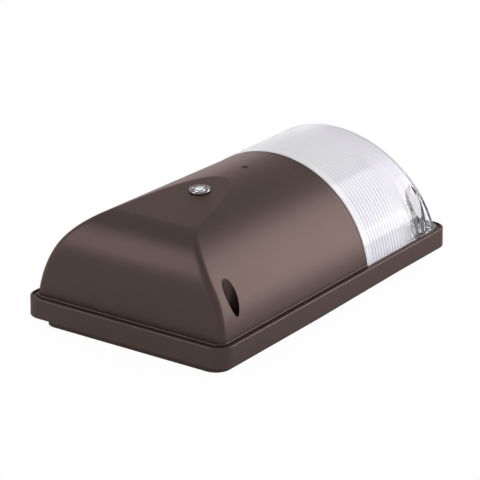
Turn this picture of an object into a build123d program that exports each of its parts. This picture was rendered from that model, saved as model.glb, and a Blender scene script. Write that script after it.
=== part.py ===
"""Wall pack light with a dusk-to-dawn sensor, modelled lying on its back.

Frame, in millimetres: the wall plane is z = 0 and +Z points out of the wall. X is the width.
Y is the length: +Y is the scooped end with the sensor, -Y is the end with the clear lens.
The origin is the centre of the back face. Turned +90 degrees about X, the light hangs on a wall.
"""
import os
from math import atan, cos, hypot, radians, sin, sqrt, tan

from build123d import *

# ---------------------------------------------------------------- driving dimensions
# Back housing: a shallow tub with a wider rim standing round it.
RIM_WIDTH = 140.0
RIM_LENGTH = 237.7
RIM_HEIGHT = 12.4
RIM_CORNER = 10.0
RIM_WALL = 1.6
RIM_DRAFT = 1.0            # degrees
RIM_EDGE_ROUND = 0.9
RIM_STEP_DEPTH = 0.7       # shallow step inside the rim's upper edge
STEP_GAP = 0.35            # between the step and the cover's foot
TUB_DEPTH = 6.3
TUB_INSET = 7.5
TUB_CORNER = 9.0
TUB_SIDE_TAPER = 1.9       # how far the long sides draw in towards the lens end
TUB_TAPER_START = 13.0     # Y where they begin to draw in
TUB_WALL = 2.5
FLOOR = 3.0
WEB = 2.5                  # shoulder between the tub and the rim

# Seat that the cover and the lens stand on, inside the rim.
FOOT_INSET = 4.1           # outer face of the cover's foot, from the rim's outer face
FOOT_WIDTH = 4.5
FOOT_THICKNESS = 2.2
FOOT_ABOVE_RIM = 0.5
FOOT_EDGE_ROUND = 0.6
FOOT_BOTTOM_BELOW_RIM = 3.5
GASKET_THICKNESS = 1.5
GASKET_MARGIN = 0.6

# Dome: one long round arch, brown over the gear and clear over the lamps.
ARCH_SIDE_INSET = 4.0      # widest part of the arch, from the rim's outer face
ARCH_AXIS_BELOW_RIM = 9.8
ARCH_RISE = 0.02           # rise of the brown arch per mm towards the scooped end
COVER_WALL = 2.2
SEAM_Y = -33.0

# Scoop: a sloping face that rolls over into the end wall.
SCOOP_START_Y = 21.5
SCOOP_SLOPE = 0.0885
SCOOP_ROLL_RADIUS = 28.0
END_WALL_FROM_END = 6.45   # foot of the end wall, from the rim's outer face
END_WALL_LEAN = 0.09
CREASE_ROUND = 4.5

# Lens
LENS_PROUD = 0.4           # the lens stands this far out of the cover at the seam
LENS_WALL = 2.8
LENS_END_FROM_END = 8.45   # foot of the lens's end wall, from the rim's outer face
LENS_END_LEAN = 0.24
LENS_END_ROUND = 3.5
LENS_EDGE_WIDTH = 3.0      # thick edge bead against the cover
LENS_LIP_LENGTH = 7.0      # tongue that goes under the cover
LENS_LIP_WALL = 1.4
LENS_LIP_FOOT_GAP = 0.1    # under the tongue's two feet
SEAM_GASKET_THICKNESS = 1.0
RIB_PITCH = 3.0
RIB_DEPTH = 0.9
RIB_FIRST_Y = -38.5
RIB_LAST_FROM_END = 23.4   # last rib, from the foot of the lens's end wall

# The four long screws that hold cover and lens down on the housing.
SCREW_FROM_SIDE = 11.4     # from the rim's outer face
SCREW_FROM_END = 23.35
SCREW_RADIUS = 2.0
SCREW_HEAD_RADIUS = 3.9
SCREW_HEAD_HEIGHT = 2.7
POCKET_RADIUS = 4.85
POCKET_WALL = 2.0
POCKET_FLOOR = 2.5
SCREW_RUNNING_GAP = 0.08
SCREW_FREE_GAP = 0.3
SCREW_TIP_GAP = 0.9        # below the tip of a cover screw
BOSS_RADIUS = 4.6
BOSS_HOLE_FLOOR = 0.8      # metal left between a blind boss hole and the floor
CAPTIVE_WASHER_THICKNESS = 1.0
CAPTIVE_WASHER_RADIUS = 3.6

# Sensor in the scoop and the small dimple on the crest.
SENSOR_Y = 43.2
SENSOR_RADIUS = 5.0
SENSOR_LENGTH = 15.0
SENSOR_HOLE_GAP = 0.1
SENSOR_TOP = 0.5           # black body above the scoop face
BEZEL_RADIUS = 6.2
BEZEL_HEIGHT = 1.3
BEZEL_ROUND = 0.8
BEZEL_WINDOW_RADIUS = 4.5
SEAL_THICKNESS = 0.5
SEAL_RADIUS = 5.9
SENSOR_NUT_FLATS = 15.0
SENSOR_NUT_THICKNESS = 3.0
SENSOR_LENS_HEIGHT = 1.3
DIMPLE_Y = -1.2
DIMPLE_RADIUS = 2.5
DIMPLE_DEPTH = 1.0

# Arched strip that clamps the lens to the cover.
RETAINER_WALL = 1.2
RETAINER_START_Y = -32.0
RETAINER_END_Y = -15.0
RETAINER_SCREW_Y = -20.0
RETAINER_SCREW_ANGLE = 52.0
RETAINER_FOOT_ABOVE_FLANGE = 2.5
RETAINER_BOSS_RADIUS = 3.5

# Wall and box fixing through the floor, and the wire entry.
ENTRY_RADIUS = 11.1
ENTRY_HUB_WALL = 2.5
ENTRY_HUB_HEIGHT = 9.0
BUSHING_WALL = 1.6
BUSHING_FLANGE = 1.8
BUSHING_LIP = 1.2
BOX_SLOT_SPACING = 86.1
BOX_SLOT_LENGTH = 10.4
BOX_SLOT_WIDTH = 4.8
WALL_HOLE_SPACING_X = 96.0
WALL_HOLE_SPACING_Y = 150.0
WALL_HOLE_RADIUS = 2.75
WALL_GASKET_DEPTH = 1.5
WALL_GASKET_WIDTH = 5.0
WALL_GASKET_SIDE_MARGIN = 3.6      # inside the tub where it is narrowest
WALL_GASKET_END_MARGIN = 5.35
WALL_GASKET_CORNER = 8.0

# Driver
DRIVER_WIDTH = 46.0
DRIVER_START_Y = 25.0
DRIVER_FROM_END = 27.85    # from the rim's outer face
DRIVER_HEIGHT = 24.0
DRIVER_WALL = 1.6
DRIVER_LID = 1.6
DRIVER_TAB = 7.0
DRIVER_TAB_THICKNESS = 2.4
DRIVER_CORNER = 3.0
DRIVER_BOARD_SIDE_GAP = 0.5
DRIVER_BOARD_END_GAP = 6.0
TRANSFORMER_WIDTH = 18.0
TRANSFORMER_LENGTH = 20.0
TRANSFORMER_HEIGHT = 15.0
TRANSFORMER_CORNER = 1.5
TRANSFORMER_X = -8.0
CHOKE_RADIUS = 6.5
CHOKE_HEIGHT = 9.0
CHOKE_X = 12.0
CHOKE_FROM_MIDDLE = -12.0
CAPACITOR_RADIUS = 5.0
CAPACITOR_HEIGHT = 16.0
CAPACITOR_PITCH = 12.0
CAPACITOR_FROM_MIDDLE = 20.0
SUPPLY_EXIT_X = (10.0, 15.0)
LAMP_EXIT_X = (-10.0, -14.0)
PAD_HEIGHT = 2.5
PAD_RADIUS = 4.0

# Lamp carrier: hat-shaped bracket, dished tray, lamp board.
BRACKET_WIDTH = 72.0
BRACKET_SHEET = 2.0
BRACKET_FROM_LENS_END = 8.4
BRACKET_FROM_SEAM = 10.0
BRACKET_FOOT = 8.0
BRACKET_TOP = 19.6
BRACKET_BEND = 3.0
BRACKET_SCREW_FROM_EDGE = 3.5
BRACKET_SCREW_FROM_END = 14.75
TRAY_SHEET = 0.8
TRAY_FLAT_WIDTH = 88.0
TRAY_FLAT_FROM_START = 4.0 # from the bracket's two ends
TRAY_FLAT_FROM_END = 1.0
TRAY_SIDE_GAP = 1.2        # from the tray's upper edge to the ribs, end wall and bead of the lens
TRAY_END_GAP = 2.26
TRAY_SEAM_GAP = 2.2
TRAY_RISE = 6.0
TRAY_CORNER = 6.0
TRAY_POCKET_GAP = 1.2
BOARD_WIDTH = 56.0
BOARD_MARGIN = 19.0        # how much shorter than the bracket the board is
BOARD_THICKNESS = 1.6
BOARD_OFF_MIDDLE = -1.5    # from the middle of the bracket
BOARD_GAP = 0.6
BOARD_SCREW_INSET = 4.0
TRAY_SCREW_FROM_BOARD = 3.6
LAMP_COLUMNS = 6
LAMP_ROWS = 4
LAMP_PITCH_X = 7.4
LAMP_ROW_MARGIN = 10.4      # board length that the connector takes from the rows
LAMPS_OFF_MIDDLE = -1.5     # leaves room for the connector
LAMP_TO_SCREW_HEAD = 2.5
LAMP_SIDE = 3.5
LAMP_HEIGHT = 0.7
LAMP_WINDOW_RADIUS = 1.3
LAMP_WINDOW_RECESS = 0.1
CONNECTOR_WIDTH = 9.0
CONNECTOR_LENGTH = 4.5
CONNECTOR_HEIGHT = 3.6
CONNECTOR_CORNER = 0.5
CONNECTOR_FROM_EDGE = 0.5
WIRE_HOLE_FROM_BOARD = 5.2
WIRE_HOLE_RADIUS = 3.4
GROMMET_LIP = 1.0

# Small screws, wires and wire caps.
SMALL_SCREW_RADIUS = 1.5
SMALL_HEAD_RADIUS = 2.7
SMALL_HEAD_HEIGHT = 1.9
SMALL_TIP_GAP = 0.4        # below the tip of a small screw in a blind hole
SMALL_BOSS_RADIUS = 3.4
HEAD_ROUND_SHARE = 0.55    # of a screw head's height
RECESS_SPAN_SHARE = 1.15   # of a screw head's radius
RECESS_DEPTH_SHARE = 0.6   # of a screw head's height
THREAD_GAP = 0.05
BLIND_FLOOR = 1.0          # metal left under the small blind holes
HOLE_GAP = 0.2
WIRE_RADIUS = 0.9
LEAD_RADIUS = 0.7
LEAD_SPACING = 2.6
CAP_RADIUS = 5.0
CAP_TIP_RADIUS = 3.2
CAP_LENGTH = 17.0
CAP_START_Y = -8.0
CAP_X = {"line": 20.5, "neutral": 33.0, "ground": -20.5}
SEAT_GAP = 0.3             # gap under pieces that only lie on the housing
GROUND_X = -27.0
GROUND_Y = 14.0
GROUND_BOSS_HEIGHT = 3.0
GROUND_HEAD_RADIUS = 3.6
RING_RADIUS = 3.9
RING_SHEET = 0.8
RING_BARREL = 7.0
RING_BARREL_WIDTH = 2.8
PLUG_Y = 53.0
PLUG_WIDTH = 7.0
PLUG_DEPTH = 5.0
PLUG_HEIGHT = 8.0
PLUG_INSERTION = 4.0
PLUG_CORNER = 0.8
SOCKET_WALL = 1.0
SOCKET_GAP = 0.3
WIRE_BEND_SHARE = 0.45     # of the shorter run beside a bend
WIRE_START = 7.5           # straight run where a wire leaves the driver
LEAD_START = 5.0           # straight run at each end of a sensor lead
SUPPLY_TURN_Y = 8.0
GROUND_WIRE_START = 2.5
LAMP_WIRE_ABOVE_FLOOR = 7.0
LAMP_WIRE_DROP = 4.0
LAMP_WIRE_DROP_Y = -18.0
LAMP_WIRE_LEVEL_Y = -34.0

# Cutters and joined solids run past or into each other by these.
OVERCUT = 1.0
MERGE = 0.5
SEAM_OVERRUN = 5.0         # the brown dome is built this far past the seam, then cut off
HIT = 0.02                 # how near an edge has to be to count as on a surface

# ---------------------------------------------------------------- levels and derived places
RIM_TOP = TUB_DEPTH + RIM_HEIGHT
HALF_LENGTH = RIM_LENGTH / 2
WEB_TOP = TUB_DEPTH + WEB
FOOT_BOTTOM = RIM_TOP - FOOT_BOTTOM_BELOW_RIM
FLANGE_TOP = FOOT_BOTTOM + FOOT_THICKNESS
FOOT_TOP = RIM_TOP + FOOT_ABOVE_RIM
STEP_INSET = FOOT_INSET - STEP_GAP
SEAT_TOP = FOOT_BOTTOM - GASKET_THICKNESS
ARCH_RADIUS = RIM_WIDTH / 2 - ARCH_SIDE_INSET
ARCH_AXIS_Z = RIM_TOP - ARCH_AXIS_BELOW_RIM
END_WALL_FOOT_Y = HALF_LENGTH - END_WALL_FROM_END
LENS_END_FOOT_Y = LENS_END_FROM_END - HALF_LENGTH
RIB_LAST_Y = LENS_END_FOOT_Y + RIB_LAST_FROM_END
LENS_RADIUS = ARCH_RADIUS + LENS_PROUD
COVER_INNER_RADIUS = ARCH_RADIUS - COVER_WALL
LIP_RADIUS = COVER_INNER_RADIUS - SEAM_GASKET_THICKNESS
LIP_INNER_RADIUS = LIP_RADIUS - LENS_LIP_WALL
RETAINER_INNER_RADIUS = LIP_INNER_RADIUS - RETAINER_WALL
SCOOP_START_Z = ARCH_AXIS_Z + ARCH_RADIUS + ARCH_RISE * (SCOOP_START_Y - SEAM_Y)
POCKET_SEAT = FOOT_BOTTOM + POCKET_FLOOR
SCREW_X = RIM_WIDTH / 2 - SCREW_FROM_SIDE
SCREW_Y = HALF_LENGTH - SCREW_FROM_END
SCREW_PLACES = [(SCREW_X, SCREW_Y), (-SCREW_X, SCREW_Y), (-SCREW_X, -SCREW_Y), (SCREW_X, -SCREW_Y)]
ABOVE_ALL = ARCH_AXIS_Z + ARCH_RADIUS * 1.5
DRIVER_BOTTOM = FLOOR + PAD_HEIGHT
DRIVER_TOP = DRIVER_BOTTOM + DRIVER_HEIGHT
DRIVER_LENGTH = HALF_LENGTH - DRIVER_FROM_END - DRIVER_START_Y
DRIVER_Y = DRIVER_START_Y + DRIVER_LENGTH / 2
BRACKET_START_Y = LENS_END_FOOT_Y + BRACKET_FROM_LENS_END
BRACKET_END_Y = SEAM_Y - BRACKET_FROM_SEAM
TRAY_TOP = BRACKET_TOP + TRAY_RISE
LENS_INSIDE = LENS_RADIUS - LENS_WALL - RIB_DEPTH
TRAY_TOP_WIDTH = 2 * (sqrt(LENS_INSIDE ** 2 - (TRAY_TOP + TRAY_SHEET - ARCH_AXIS_Z) ** 2) - TRAY_SIDE_GAP)
TRAY_TOP_START_Y = (LENS_END_FOOT_Y + LENS_END_LEAN * (TRAY_TOP - RIM_TOP)
                    + LENS_WALL * hypot(1, LENS_END_LEAN) + TRAY_END_GAP)
TRAY_TOP_END_Y = SEAM_Y - LENS_EDGE_WIDTH - TRAY_SEAM_GAP
BOARD_LENGTH = BRACKET_END_Y - BRACKET_START_Y - BOARD_MARGIN
BOARD_Y = (BRACKET_START_Y + BRACKET_END_Y) / 2 + BOARD_OFF_MIDDLE
LAMP_PITCH_Y = (BOARD_LENGTH - LAMP_ROW_MARGIN) / LAMP_ROWS
WIRE_HOLE_Y = BOARD_Y + BOARD_LENGTH / 2 + WIRE_HOLE_FROM_BOARD
BOARD_TOP = BRACKET_TOP + BOARD_THICKNESS
CAP_Z = FLOOR + SEAT_GAP + CAP_RADIUS
BOSS_HOLE_BOTTOM = FLOOR + BOSS_HOLE_FLOOR
CONNECTOR_FACE_Y = BOARD_Y + BOARD_LENGTH / 2 - CONNECTOR_FROM_EDGE
RING_LEVEL = FLOOR + GROUND_BOSS_HEIGHT
PLUG_BOTTOM = DRIVER_TOP + DRIVER_LID + SOCKET_WALL
RETAINER_ANGLES = (-RETAINER_SCREW_ANGLE, 0.0, RETAINER_SCREW_ANGLE)


# ---------------------------------------------------------------- helpers
def slab(width, length, corner, low, high, x=0.0, y=0.0, taper=0.0):
    """Upright block with rounded corners between two levels."""
    outline = Pos(x, y, low) * RectangleRounded(width, length, corner)
    return extrude(outline, amount=high - low, taper=taper)


def inset_slab(inset, low, high, taper=0.0):
    """Block that follows the rim's outline at a constant inset."""
    corner = RIM_CORNER - inset
    return slab(RIM_WIDTH - 2 * inset, RIM_LENGTH - 2 * inset, corner, low, high, taper=taper)


def block(width, length, low, high, x=0.0, y=0.0):
    return Pos(x, y, (low + high) / 2) * Box(width, length, high - low)


def rod(radius, low, high, x=0.0, y=0.0):
    return Pos(x, y, (low + high) / 2) * Cylinder(radius, high - low)


def half_space(y_low, y_high, low=-OVERCUT):
    """Everything between two Y planes, above a level."""
    return block(2 * RIM_WIDTH, y_high - y_low, low, ABOVE_ALL, y=(y_low + y_high) / 2)


def along_y(radius, y_low, y_high, rise=0.0):
    """Lying cylinder on the arch's axis, which may rise towards +Y."""
    start = Plane(origin=(0, y_low, ARCH_AXIS_Z + rise * (y_low - SEAM_Y)), x_dir=(1, 0, 0),
                  z_dir=(0, 1, rise))
    return extrude(start * Circle(radius), amount=(y_high - y_low) * hypot(1, rise))


def arch_ring(outer, inner, y_low, y_high, foot):
    """Arched strip round the arch's axis, cut off level at its two feet."""
    ring = along_y(outer, y_low, y_high) - along_y(inner, y_low - OVERCUT, y_high + OVERCUT)
    return ring & half_space(y_low - OVERCUT, y_high + OVERCUT, foot)


def group(solids):
    return Compound(children=list(solids))


def wire(points, radius):
    """Round wire along straight runs and the largest arcs that fit between them."""
    knots = [Vector(*point) for point in points]
    bends = []
    for before, corner, after in zip(knots, knots[1:], knots[2:]):
        arriving, leaving = corner - before, after - corner
        half_turn = radians(arriving.get_angle(leaving)) / 2
        bends.append(WIRE_BEND_SHARE * min(arriving.length, leaving.length) / tan(half_turn))
    path = FilletPolyline(*knots, radius=bends)
    return sweep(Plane(origin=path @ 0, z_dir=path % 0) * Circle(radius), path=path)


def cross_recess(size, depth, top):
    """Cutter for a cross slot in a screw head."""
    arm = size / 4
    return block(size, arm, top - depth, top + OVERCUT) + block(arm, size, top - depth, top + OVERCUT)


def pan_screw(length, shank_radius, head_radius, head_height):
    """Cross-head screw pointing down, its head standing on z = 0."""
    head = rod(head_radius, 0, head_height)
    head = fillet(head.edges().group_by(Axis.Z)[-1], head_height * HEAD_ROUND_SHARE)
    body = head + rod(shank_radius, -length, head_height / 2)
    span, depth = head_radius * RECESS_SPAN_SHARE, head_height * RECESS_DEPTH_SHARE
    return body - cross_recess(span, depth, head_height)


def small_screw(length):
    return pan_screw(length, SMALL_SCREW_RADIUS, SMALL_HEAD_RADIUS, SMALL_HEAD_HEIGHT)


# ---------------------------------------------------------------- the domed shells
def dome_profile(inset):
    """Side view of the brown dome in the YZ plane, moved in by the wall thickness."""
    lean = atan(END_WALL_LEAN)
    slope = atan(SCOOP_SLOPE)
    foot_y = END_WALL_FOOT_Y - inset / cos(lean)
    start_z = SCOOP_START_Z - inset / cos(slope)
    low = FOOT_BOTTOM - OVERCUT

    def wall_y(z):
        return foot_y - END_WALL_LEAN * (z - RIM_TOP)

    def scoop_z(y):
        return start_z - SCOOP_SLOPE * (y - SCOOP_START_Y)

    corner_y = (foot_y - END_WALL_LEAN * (scoop_z(0) - RIM_TOP)) / (1 - END_WALL_LEAN * SCOOP_SLOPE)
    corner = (corner_y, scoop_z(corner_y))
    back_y = SEAM_Y - SEAM_OVERRUN
    outline = Polyline((back_y, low), (wall_y(low), low), corner, (back_y, scoop_z(back_y)), close=True)
    face = make_face(Plane.YZ * outline)
    rolled = [v for v in face.vertices() if hypot(v.Y - corner[0], v.Z - corner[1]) < HIT]
    return fillet(rolled, SCOOP_ROLL_RADIUS - inset)


def is_crease(edge, radius, rise):
    """True for an edge that lies on the arch's cylinder all along, above the foot."""
    for share in (0.2, 0.5, 0.8):
        point = edge @ share
        axis_z = ARCH_AXIS_Z + rise * (point.Y - SEAM_Y)
        off = hypot(point.X, (point.Z - axis_z) / sqrt(1 + rise ** 2)) - radius
        if abs(off) > HIT or point.Z < FOOT_BOTTOM:
            return False
        if abs(point.Y - SEAM_Y) < SEAM_OVERRUN + HIT:
            return False
    return True


def brown_dome(inset):
    """Solid dome over the gear, its crease rounded, from below the foot upwards."""
    radius = ARCH_RADIUS - inset
    tunnel = along_y(radius, SEAM_Y - SEAM_OVERRUN, HALF_LENGTH, ARCH_RISE)
    prism = extrude(dome_profile(inset), amount=RIM_WIDTH / 2, both=True)
    dome = tunnel & prism
    crease = [edge for edge in dome.edges() if is_crease(edge, radius, ARCH_RISE)]
    return fillet(crease, CREASE_ROUND - inset)


def lens_dome(inset):
    """Solid dome over the lamps, with its leaning end wall."""
    radius = LENS_RADIUS - inset
    lean = atan(LENS_END_LEAN)
    foot_y = LENS_END_FOOT_Y + inset / cos(lean)
    low = FOOT_BOTTOM - OVERCUT
    outline = Polyline((SEAM_Y, low), (foot_y + LENS_END_LEAN * (low - RIM_TOP), low),
                       (foot_y + LENS_END_LEAN * (ABOVE_ALL - RIM_TOP), ABOVE_ALL), (SEAM_Y, ABOVE_ALL),
                       close=True)
    prism = extrude(make_face(Plane.YZ * outline), amount=RIM_WIDTH / 2, both=True)
    dome = along_y(radius, -HALF_LENGTH, SEAM_Y) & prism
    crease = [edge for edge in dome.edges() if is_crease(edge, radius, 0.0)]
    return fillet(crease, LENS_END_ROUND - inset)


def foot_ring(y_low, y_high):
    """Upright foot with a rounded upper edge, between two Y planes."""
    foot = inset_slab(FOOT_INSET, FOOT_BOTTOM, FOOT_TOP)
    foot = fillet(foot.edges().group_by(Axis.Z)[-1], FOOT_EDGE_ROUND)
    return foot & half_space(y_low, y_high)


def flange_opening():
    return inset_slab(FOOT_INSET + FOOT_WIDTH, FOOT_BOTTOM - OVERCUT, FLANGE_TOP + MERGE)


def screw_tubes(places):
    """Solid posts that the screw pockets are bored into."""
    return [rod(POCKET_RADIUS + POCKET_WALL, FOOT_BOTTOM, ABOVE_ALL, x, y) for x, y in places]


def screw_bores(places):
    """Pockets for the heads and clear holes for the shanks."""
    bores = []
    for x, y in places:
        bores.append(rod(POCKET_RADIUS, POCKET_SEAT, ABOVE_ALL, x, y))
        bores.append(rod(SCREW_RADIUS + SCREW_FREE_GAP, FOOT_BOTTOM - OVERCUT, POCKET_SEAT + OVERCUT, x, y))
    return bores


def hollow_shell(outer, inner, y_low, y_high, places):
    """Shell with an inward foot flange and bored screw posts, nowhere wider than its foot."""
    column = inset_slab(FOOT_INSET, FOOT_BOTTOM, ABOVE_ALL)
    solid = (outer & column) + foot_ring(y_low, y_high)
    cavity = inner & half_space(-RIM_LENGTH, RIM_LENGTH, FLANGE_TOP)
    shell = solid - cavity - flange_opening()
    for tube in screw_tubes(places):
        shell += tube & solid
    for bore in screw_bores(places):
        shell -= bore
    return shell & half_space(y_low, y_high, FOOT_BOTTOM)


def retainer_plane(angle, radius):
    """Plane square to a radius of the arch at the retainer's screw line, facing out."""
    turn = radians(angle)
    outward = (sin(turn), 0, cos(turn))
    origin = (radius * outward[0], RETAINER_SCREW_Y, ARCH_AXIS_Z + radius * outward[2])
    return Plane(origin=origin, x_dir=(0, 1, 0), z_dir=outward)


# ---------------------------------------------------------------- sensor axis
def sensor_plane():
    """Plane on the scoop face at the sensor, facing out."""
    z = SCOOP_START_Z - SCOOP_SLOPE * (SENSOR_Y - SCOOP_START_Y)
    return Plane(origin=(0, SENSOR_Y, z), x_dir=(1, 0, 0), z_dir=(0, SCOOP_SLOPE, 1))


def on_sensor(radius, low, high):
    return sensor_plane() * rod(radius, low, high)


# ---------------------------------------------------------------- back housing
def tub_outline(inset):
    side = RIM_WIDTH / 2 - TUB_INSET - inset
    end = HALF_LENGTH - TUB_INSET - inset
    narrow = side - TUB_SIDE_TAPER
    points = [(side, end), (side, TUB_TAPER_START), (narrow, -end),
              (-narrow, -end), (-side, TUB_TAPER_START), (-side, end)]
    face = make_face(Polyline(*points, close=True))
    corners = [v for v in face.vertices() if abs(v.Y) > end - HIT]
    return fillet(corners, TUB_CORNER - inset)


def back_housing():
    tub = extrude(tub_outline(0), amount=WEB_TOP)
    rim = inset_slab(0, TUB_DEPTH, RIM_TOP, taper=RIM_DRAFT)
    rim = fillet(rim.edges().group_by(Axis.Z)[-1], RIM_EDGE_ROUND)
    rim = fillet(rim.edges().group_by(Axis.Z)[0], RIM_EDGE_ROUND)
    housing = tub + rim - inset_slab(STEP_INSET, WEB_TOP, RIM_TOP + OVERCUT)
    housing -= inset_slab(RIM_WALL, RIM_TOP - RIM_STEP_DEPTH, RIM_TOP + OVERCUT)
    seat = inset_slab(STEP_INSET - MERGE, WEB_TOP - MERGE, SEAT_TOP)
    seat -= inset_slab(FOOT_INSET + FOOT_WIDTH, 0, SEAT_TOP + OVERCUT)
    housing += seat
    housing -= Pos(0, 0, FLOOR) * extrude(tub_outline(TUB_WALL), amount=WEB_TOP)
    hole = SCREW_RADIUS + SCREW_RUNNING_GAP
    for x, y in SCREW_PLACES:
        housing += rod(BOSS_RADIUS, FLOOR - MERGE, SEAT_TOP, x, y)
        housing -= rod(hole, BOSS_HOLE_BOTTOM, SEAT_TOP + OVERCUT, x, y)
    housing += rod(ENTRY_RADIUS + ENTRY_HUB_WALL, 0, ENTRY_HUB_HEIGHT)
    housing -= rod(ENTRY_RADIUS, -OVERCUT, ENTRY_HUB_HEIGHT + OVERCUT)
    for side in (-1, 1):
        slot = SlotOverall(BOX_SLOT_LENGTH, BOX_SLOT_WIDTH)
        housing -= extrude(Pos(side * BOX_SLOT_SPACING / 2, 0, -OVERCUT) * slot, amount=FLOOR + 2 * OVERCUT)
        for end in (-1, 1):
            x, y = side * WALL_HOLE_SPACING_X / 2, end * WALL_HOLE_SPACING_Y / 2
            housing -= rod(WALL_HOLE_RADIUS, -OVERCUT, FLOOR + OVERCUT, x, y)
    for x, y in driver_screw_places():
        housing += rod(PAD_RADIUS, FLOOR - MERGE, DRIVER_BOTTOM, x, y)
    housing += rod(SMALL_BOSS_RADIUS, FLOOR - MERGE, RING_LEVEL, GROUND_X, GROUND_Y)
    for x, y in driver_screw_places() + bracket_screw_places() + [(GROUND_X, GROUND_Y)]:
        housing -= rod(SMALL_SCREW_RADIUS + THREAD_GAP, BLIND_FLOOR, ABOVE_ALL, x, y)
    return housing - wall_gasket()


def wall_gasket():
    width = RIM_WIDTH - 2 * (TUB_INSET + TUB_SIDE_TAPER + WALL_GASKET_SIDE_MARGIN)
    length = RIM_LENGTH - 2 * (TUB_INSET + WALL_GASKET_END_MARGIN)
    ring = slab(width, length, WALL_GASKET_CORNER, 0, WALL_GASKET_DEPTH)
    return ring - slab(width - 2 * WALL_GASKET_WIDTH, length - 2 * WALL_GASKET_WIDTH,
                       WALL_GASKET_CORNER - WALL_GASKET_WIDTH, -OVERCUT, WALL_GASKET_DEPTH + OVERCUT)


def cover_gasket():
    low_inset = FOOT_INSET + GASKET_MARGIN
    high_inset = FOOT_INSET + FOOT_WIDTH - GASKET_MARGIN
    ring = inset_slab(low_inset, SEAT_TOP, FOOT_BOTTOM) - inset_slab(high_inset, 0, FOOT_BOTTOM + OVERCUT)
    for x, y in SCREW_PLACES:
        ring -= rod(BOSS_RADIUS + SEAT_GAP, 0, FOOT_BOTTOM + OVERCUT, x, y)
    return ring


def entry_bushing():
    """Plastic sleeve that lines the wire entry, with a lip above the hub."""
    sleeve = rod(ENTRY_RADIUS, 0, ENTRY_HUB_HEIGHT)
    lip = rod(ENTRY_RADIUS + BUSHING_FLANGE, ENTRY_HUB_HEIGHT, ENTRY_HUB_HEIGHT + BUSHING_LIP)
    return sleeve + lip - rod(ENTRY_RADIUS - BUSHING_WALL, -OVERCUT, ABOVE_ALL)


# ---------------------------------------------------------------- cover, lens and what joins them
def front_cover():
    places = [(x, y) for x, y in SCREW_PLACES if y > 0]
    cover = hollow_shell(brown_dome(0), brown_dome(COVER_WALL), SEAM_Y, HALF_LENGTH, places)
    for angle in RETAINER_ANGLES:
        depth = COVER_INNER_RADIUS + COVER_WALL / 2 - LIP_INNER_RADIUS
        place = retainer_plane(angle, LIP_INNER_RADIUS)
        cover += place * rod(RETAINER_BOSS_RADIUS, 0, depth)
        cover -= place * rod(SMALL_SCREW_RADIUS + THREAD_GAP, -OVERCUT, depth)
    cover -= on_sensor(SENSOR_RADIUS + SENSOR_HOLE_GAP, -COVER_WALL - OVERCUT, OVERCUT)
    crest_z = ARCH_AXIS_Z + ARCH_RADIUS + ARCH_RISE * (DIMPLE_Y - SEAM_Y)
    ball = (DIMPLE_RADIUS ** 2 + DIMPLE_DEPTH ** 2) / (2 * DIMPLE_DEPTH)
    return cover - Pos(0, DIMPLE_Y, crest_z + ball - DIMPLE_DEPTH) * Sphere(ball)


def lens_ribs():
    """Prism ribs round the inside of the lens, one sawtooth profile turned about the axis."""
    inner = LENS_RADIUS - LENS_WALL
    count = round((RIB_FIRST_Y - RIB_LAST_Y) / RIB_PITCH)
    points = [(RIB_FIRST_Y, inner + MERGE), (RIB_FIRST_Y, inner)]
    for number in range(count):
        start = RIB_FIRST_Y - number * RIB_PITCH
        points.append((start - RIB_PITCH / 2, inner - RIB_DEPTH))
        points.append((start - RIB_PITCH, inner))
    points.append((RIB_FIRST_Y - count * RIB_PITCH, inner + MERGE))
    knots = [(0, y, ARCH_AXIS_Z + radius) for y, radius in points]
    face = make_face(Polyline(*knots, close=True))
    ribs = revolve(face, Axis((0, 0, ARCH_AXIS_Z), (0, 1, 0)), 360)
    return ribs & half_space(-HALF_LENGTH, SEAM_Y, FOOT_TOP)


def lens():
    places = [(x, y) for x, y in SCREW_PLACES if y < 0]
    shell = hollow_shell(lens_dome(0), lens_dome(LENS_WALL), -HALF_LENGTH, SEAM_Y, places)
    bead = arch_ring(LENS_RADIUS, LIP_INNER_RADIUS, SEAM_Y - LENS_EDGE_WIDTH, SEAM_Y, FLANGE_TOP)
    shell += bead & inset_slab(FOOT_INSET, FOOT_BOTTOM, ABOVE_ALL)
    shell += arch_ring(LIP_RADIUS, LIP_INNER_RADIUS, SEAM_Y - MERGE, SEAM_Y + LENS_LIP_LENGTH,
                       FLANGE_TOP + LENS_LIP_FOOT_GAP)
    return shell + lens_ribs()


def seam_gasket():
    return arch_ring(COVER_INNER_RADIUS, LIP_RADIUS, SEAM_Y, SEAM_Y + LENS_LIP_LENGTH,
                     FLANGE_TOP + LENS_LIP_FOOT_GAP)


def lens_retainer():
    foot = FLANGE_TOP + RETAINER_FOOT_ABOVE_FLANGE
    strip = arch_ring(LIP_INNER_RADIUS, RETAINER_INNER_RADIUS, RETAINER_START_Y, RETAINER_END_Y, foot)
    for angle in RETAINER_ANGLES:
        hole = rod(SMALL_SCREW_RADIUS + HOLE_GAP, -RETAINER_WALL - OVERCUT, OVERCUT)
        strip -= retainer_plane(angle, LIP_INNER_RADIUS) * hole
    return strip


def retainer_screws():
    screws = []
    sagitta = SMALL_HEAD_RADIUS ** 2 / (2 * RETAINER_INNER_RADIUS) + THREAD_GAP
    grip = RETAINER_WALL + COVER_INNER_RADIUS - LIP_INNER_RADIUS
    for angle in RETAINER_ANGLES:
        facing_out = retainer_plane(angle, RETAINER_INNER_RADIUS - sagitta)
        facing_in = Plane(origin=facing_out.origin, x_dir=facing_out.x_dir, z_dir=-facing_out.z_dir)
        screws.append(facing_in * small_screw(grip))
    return group(screws)


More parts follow.
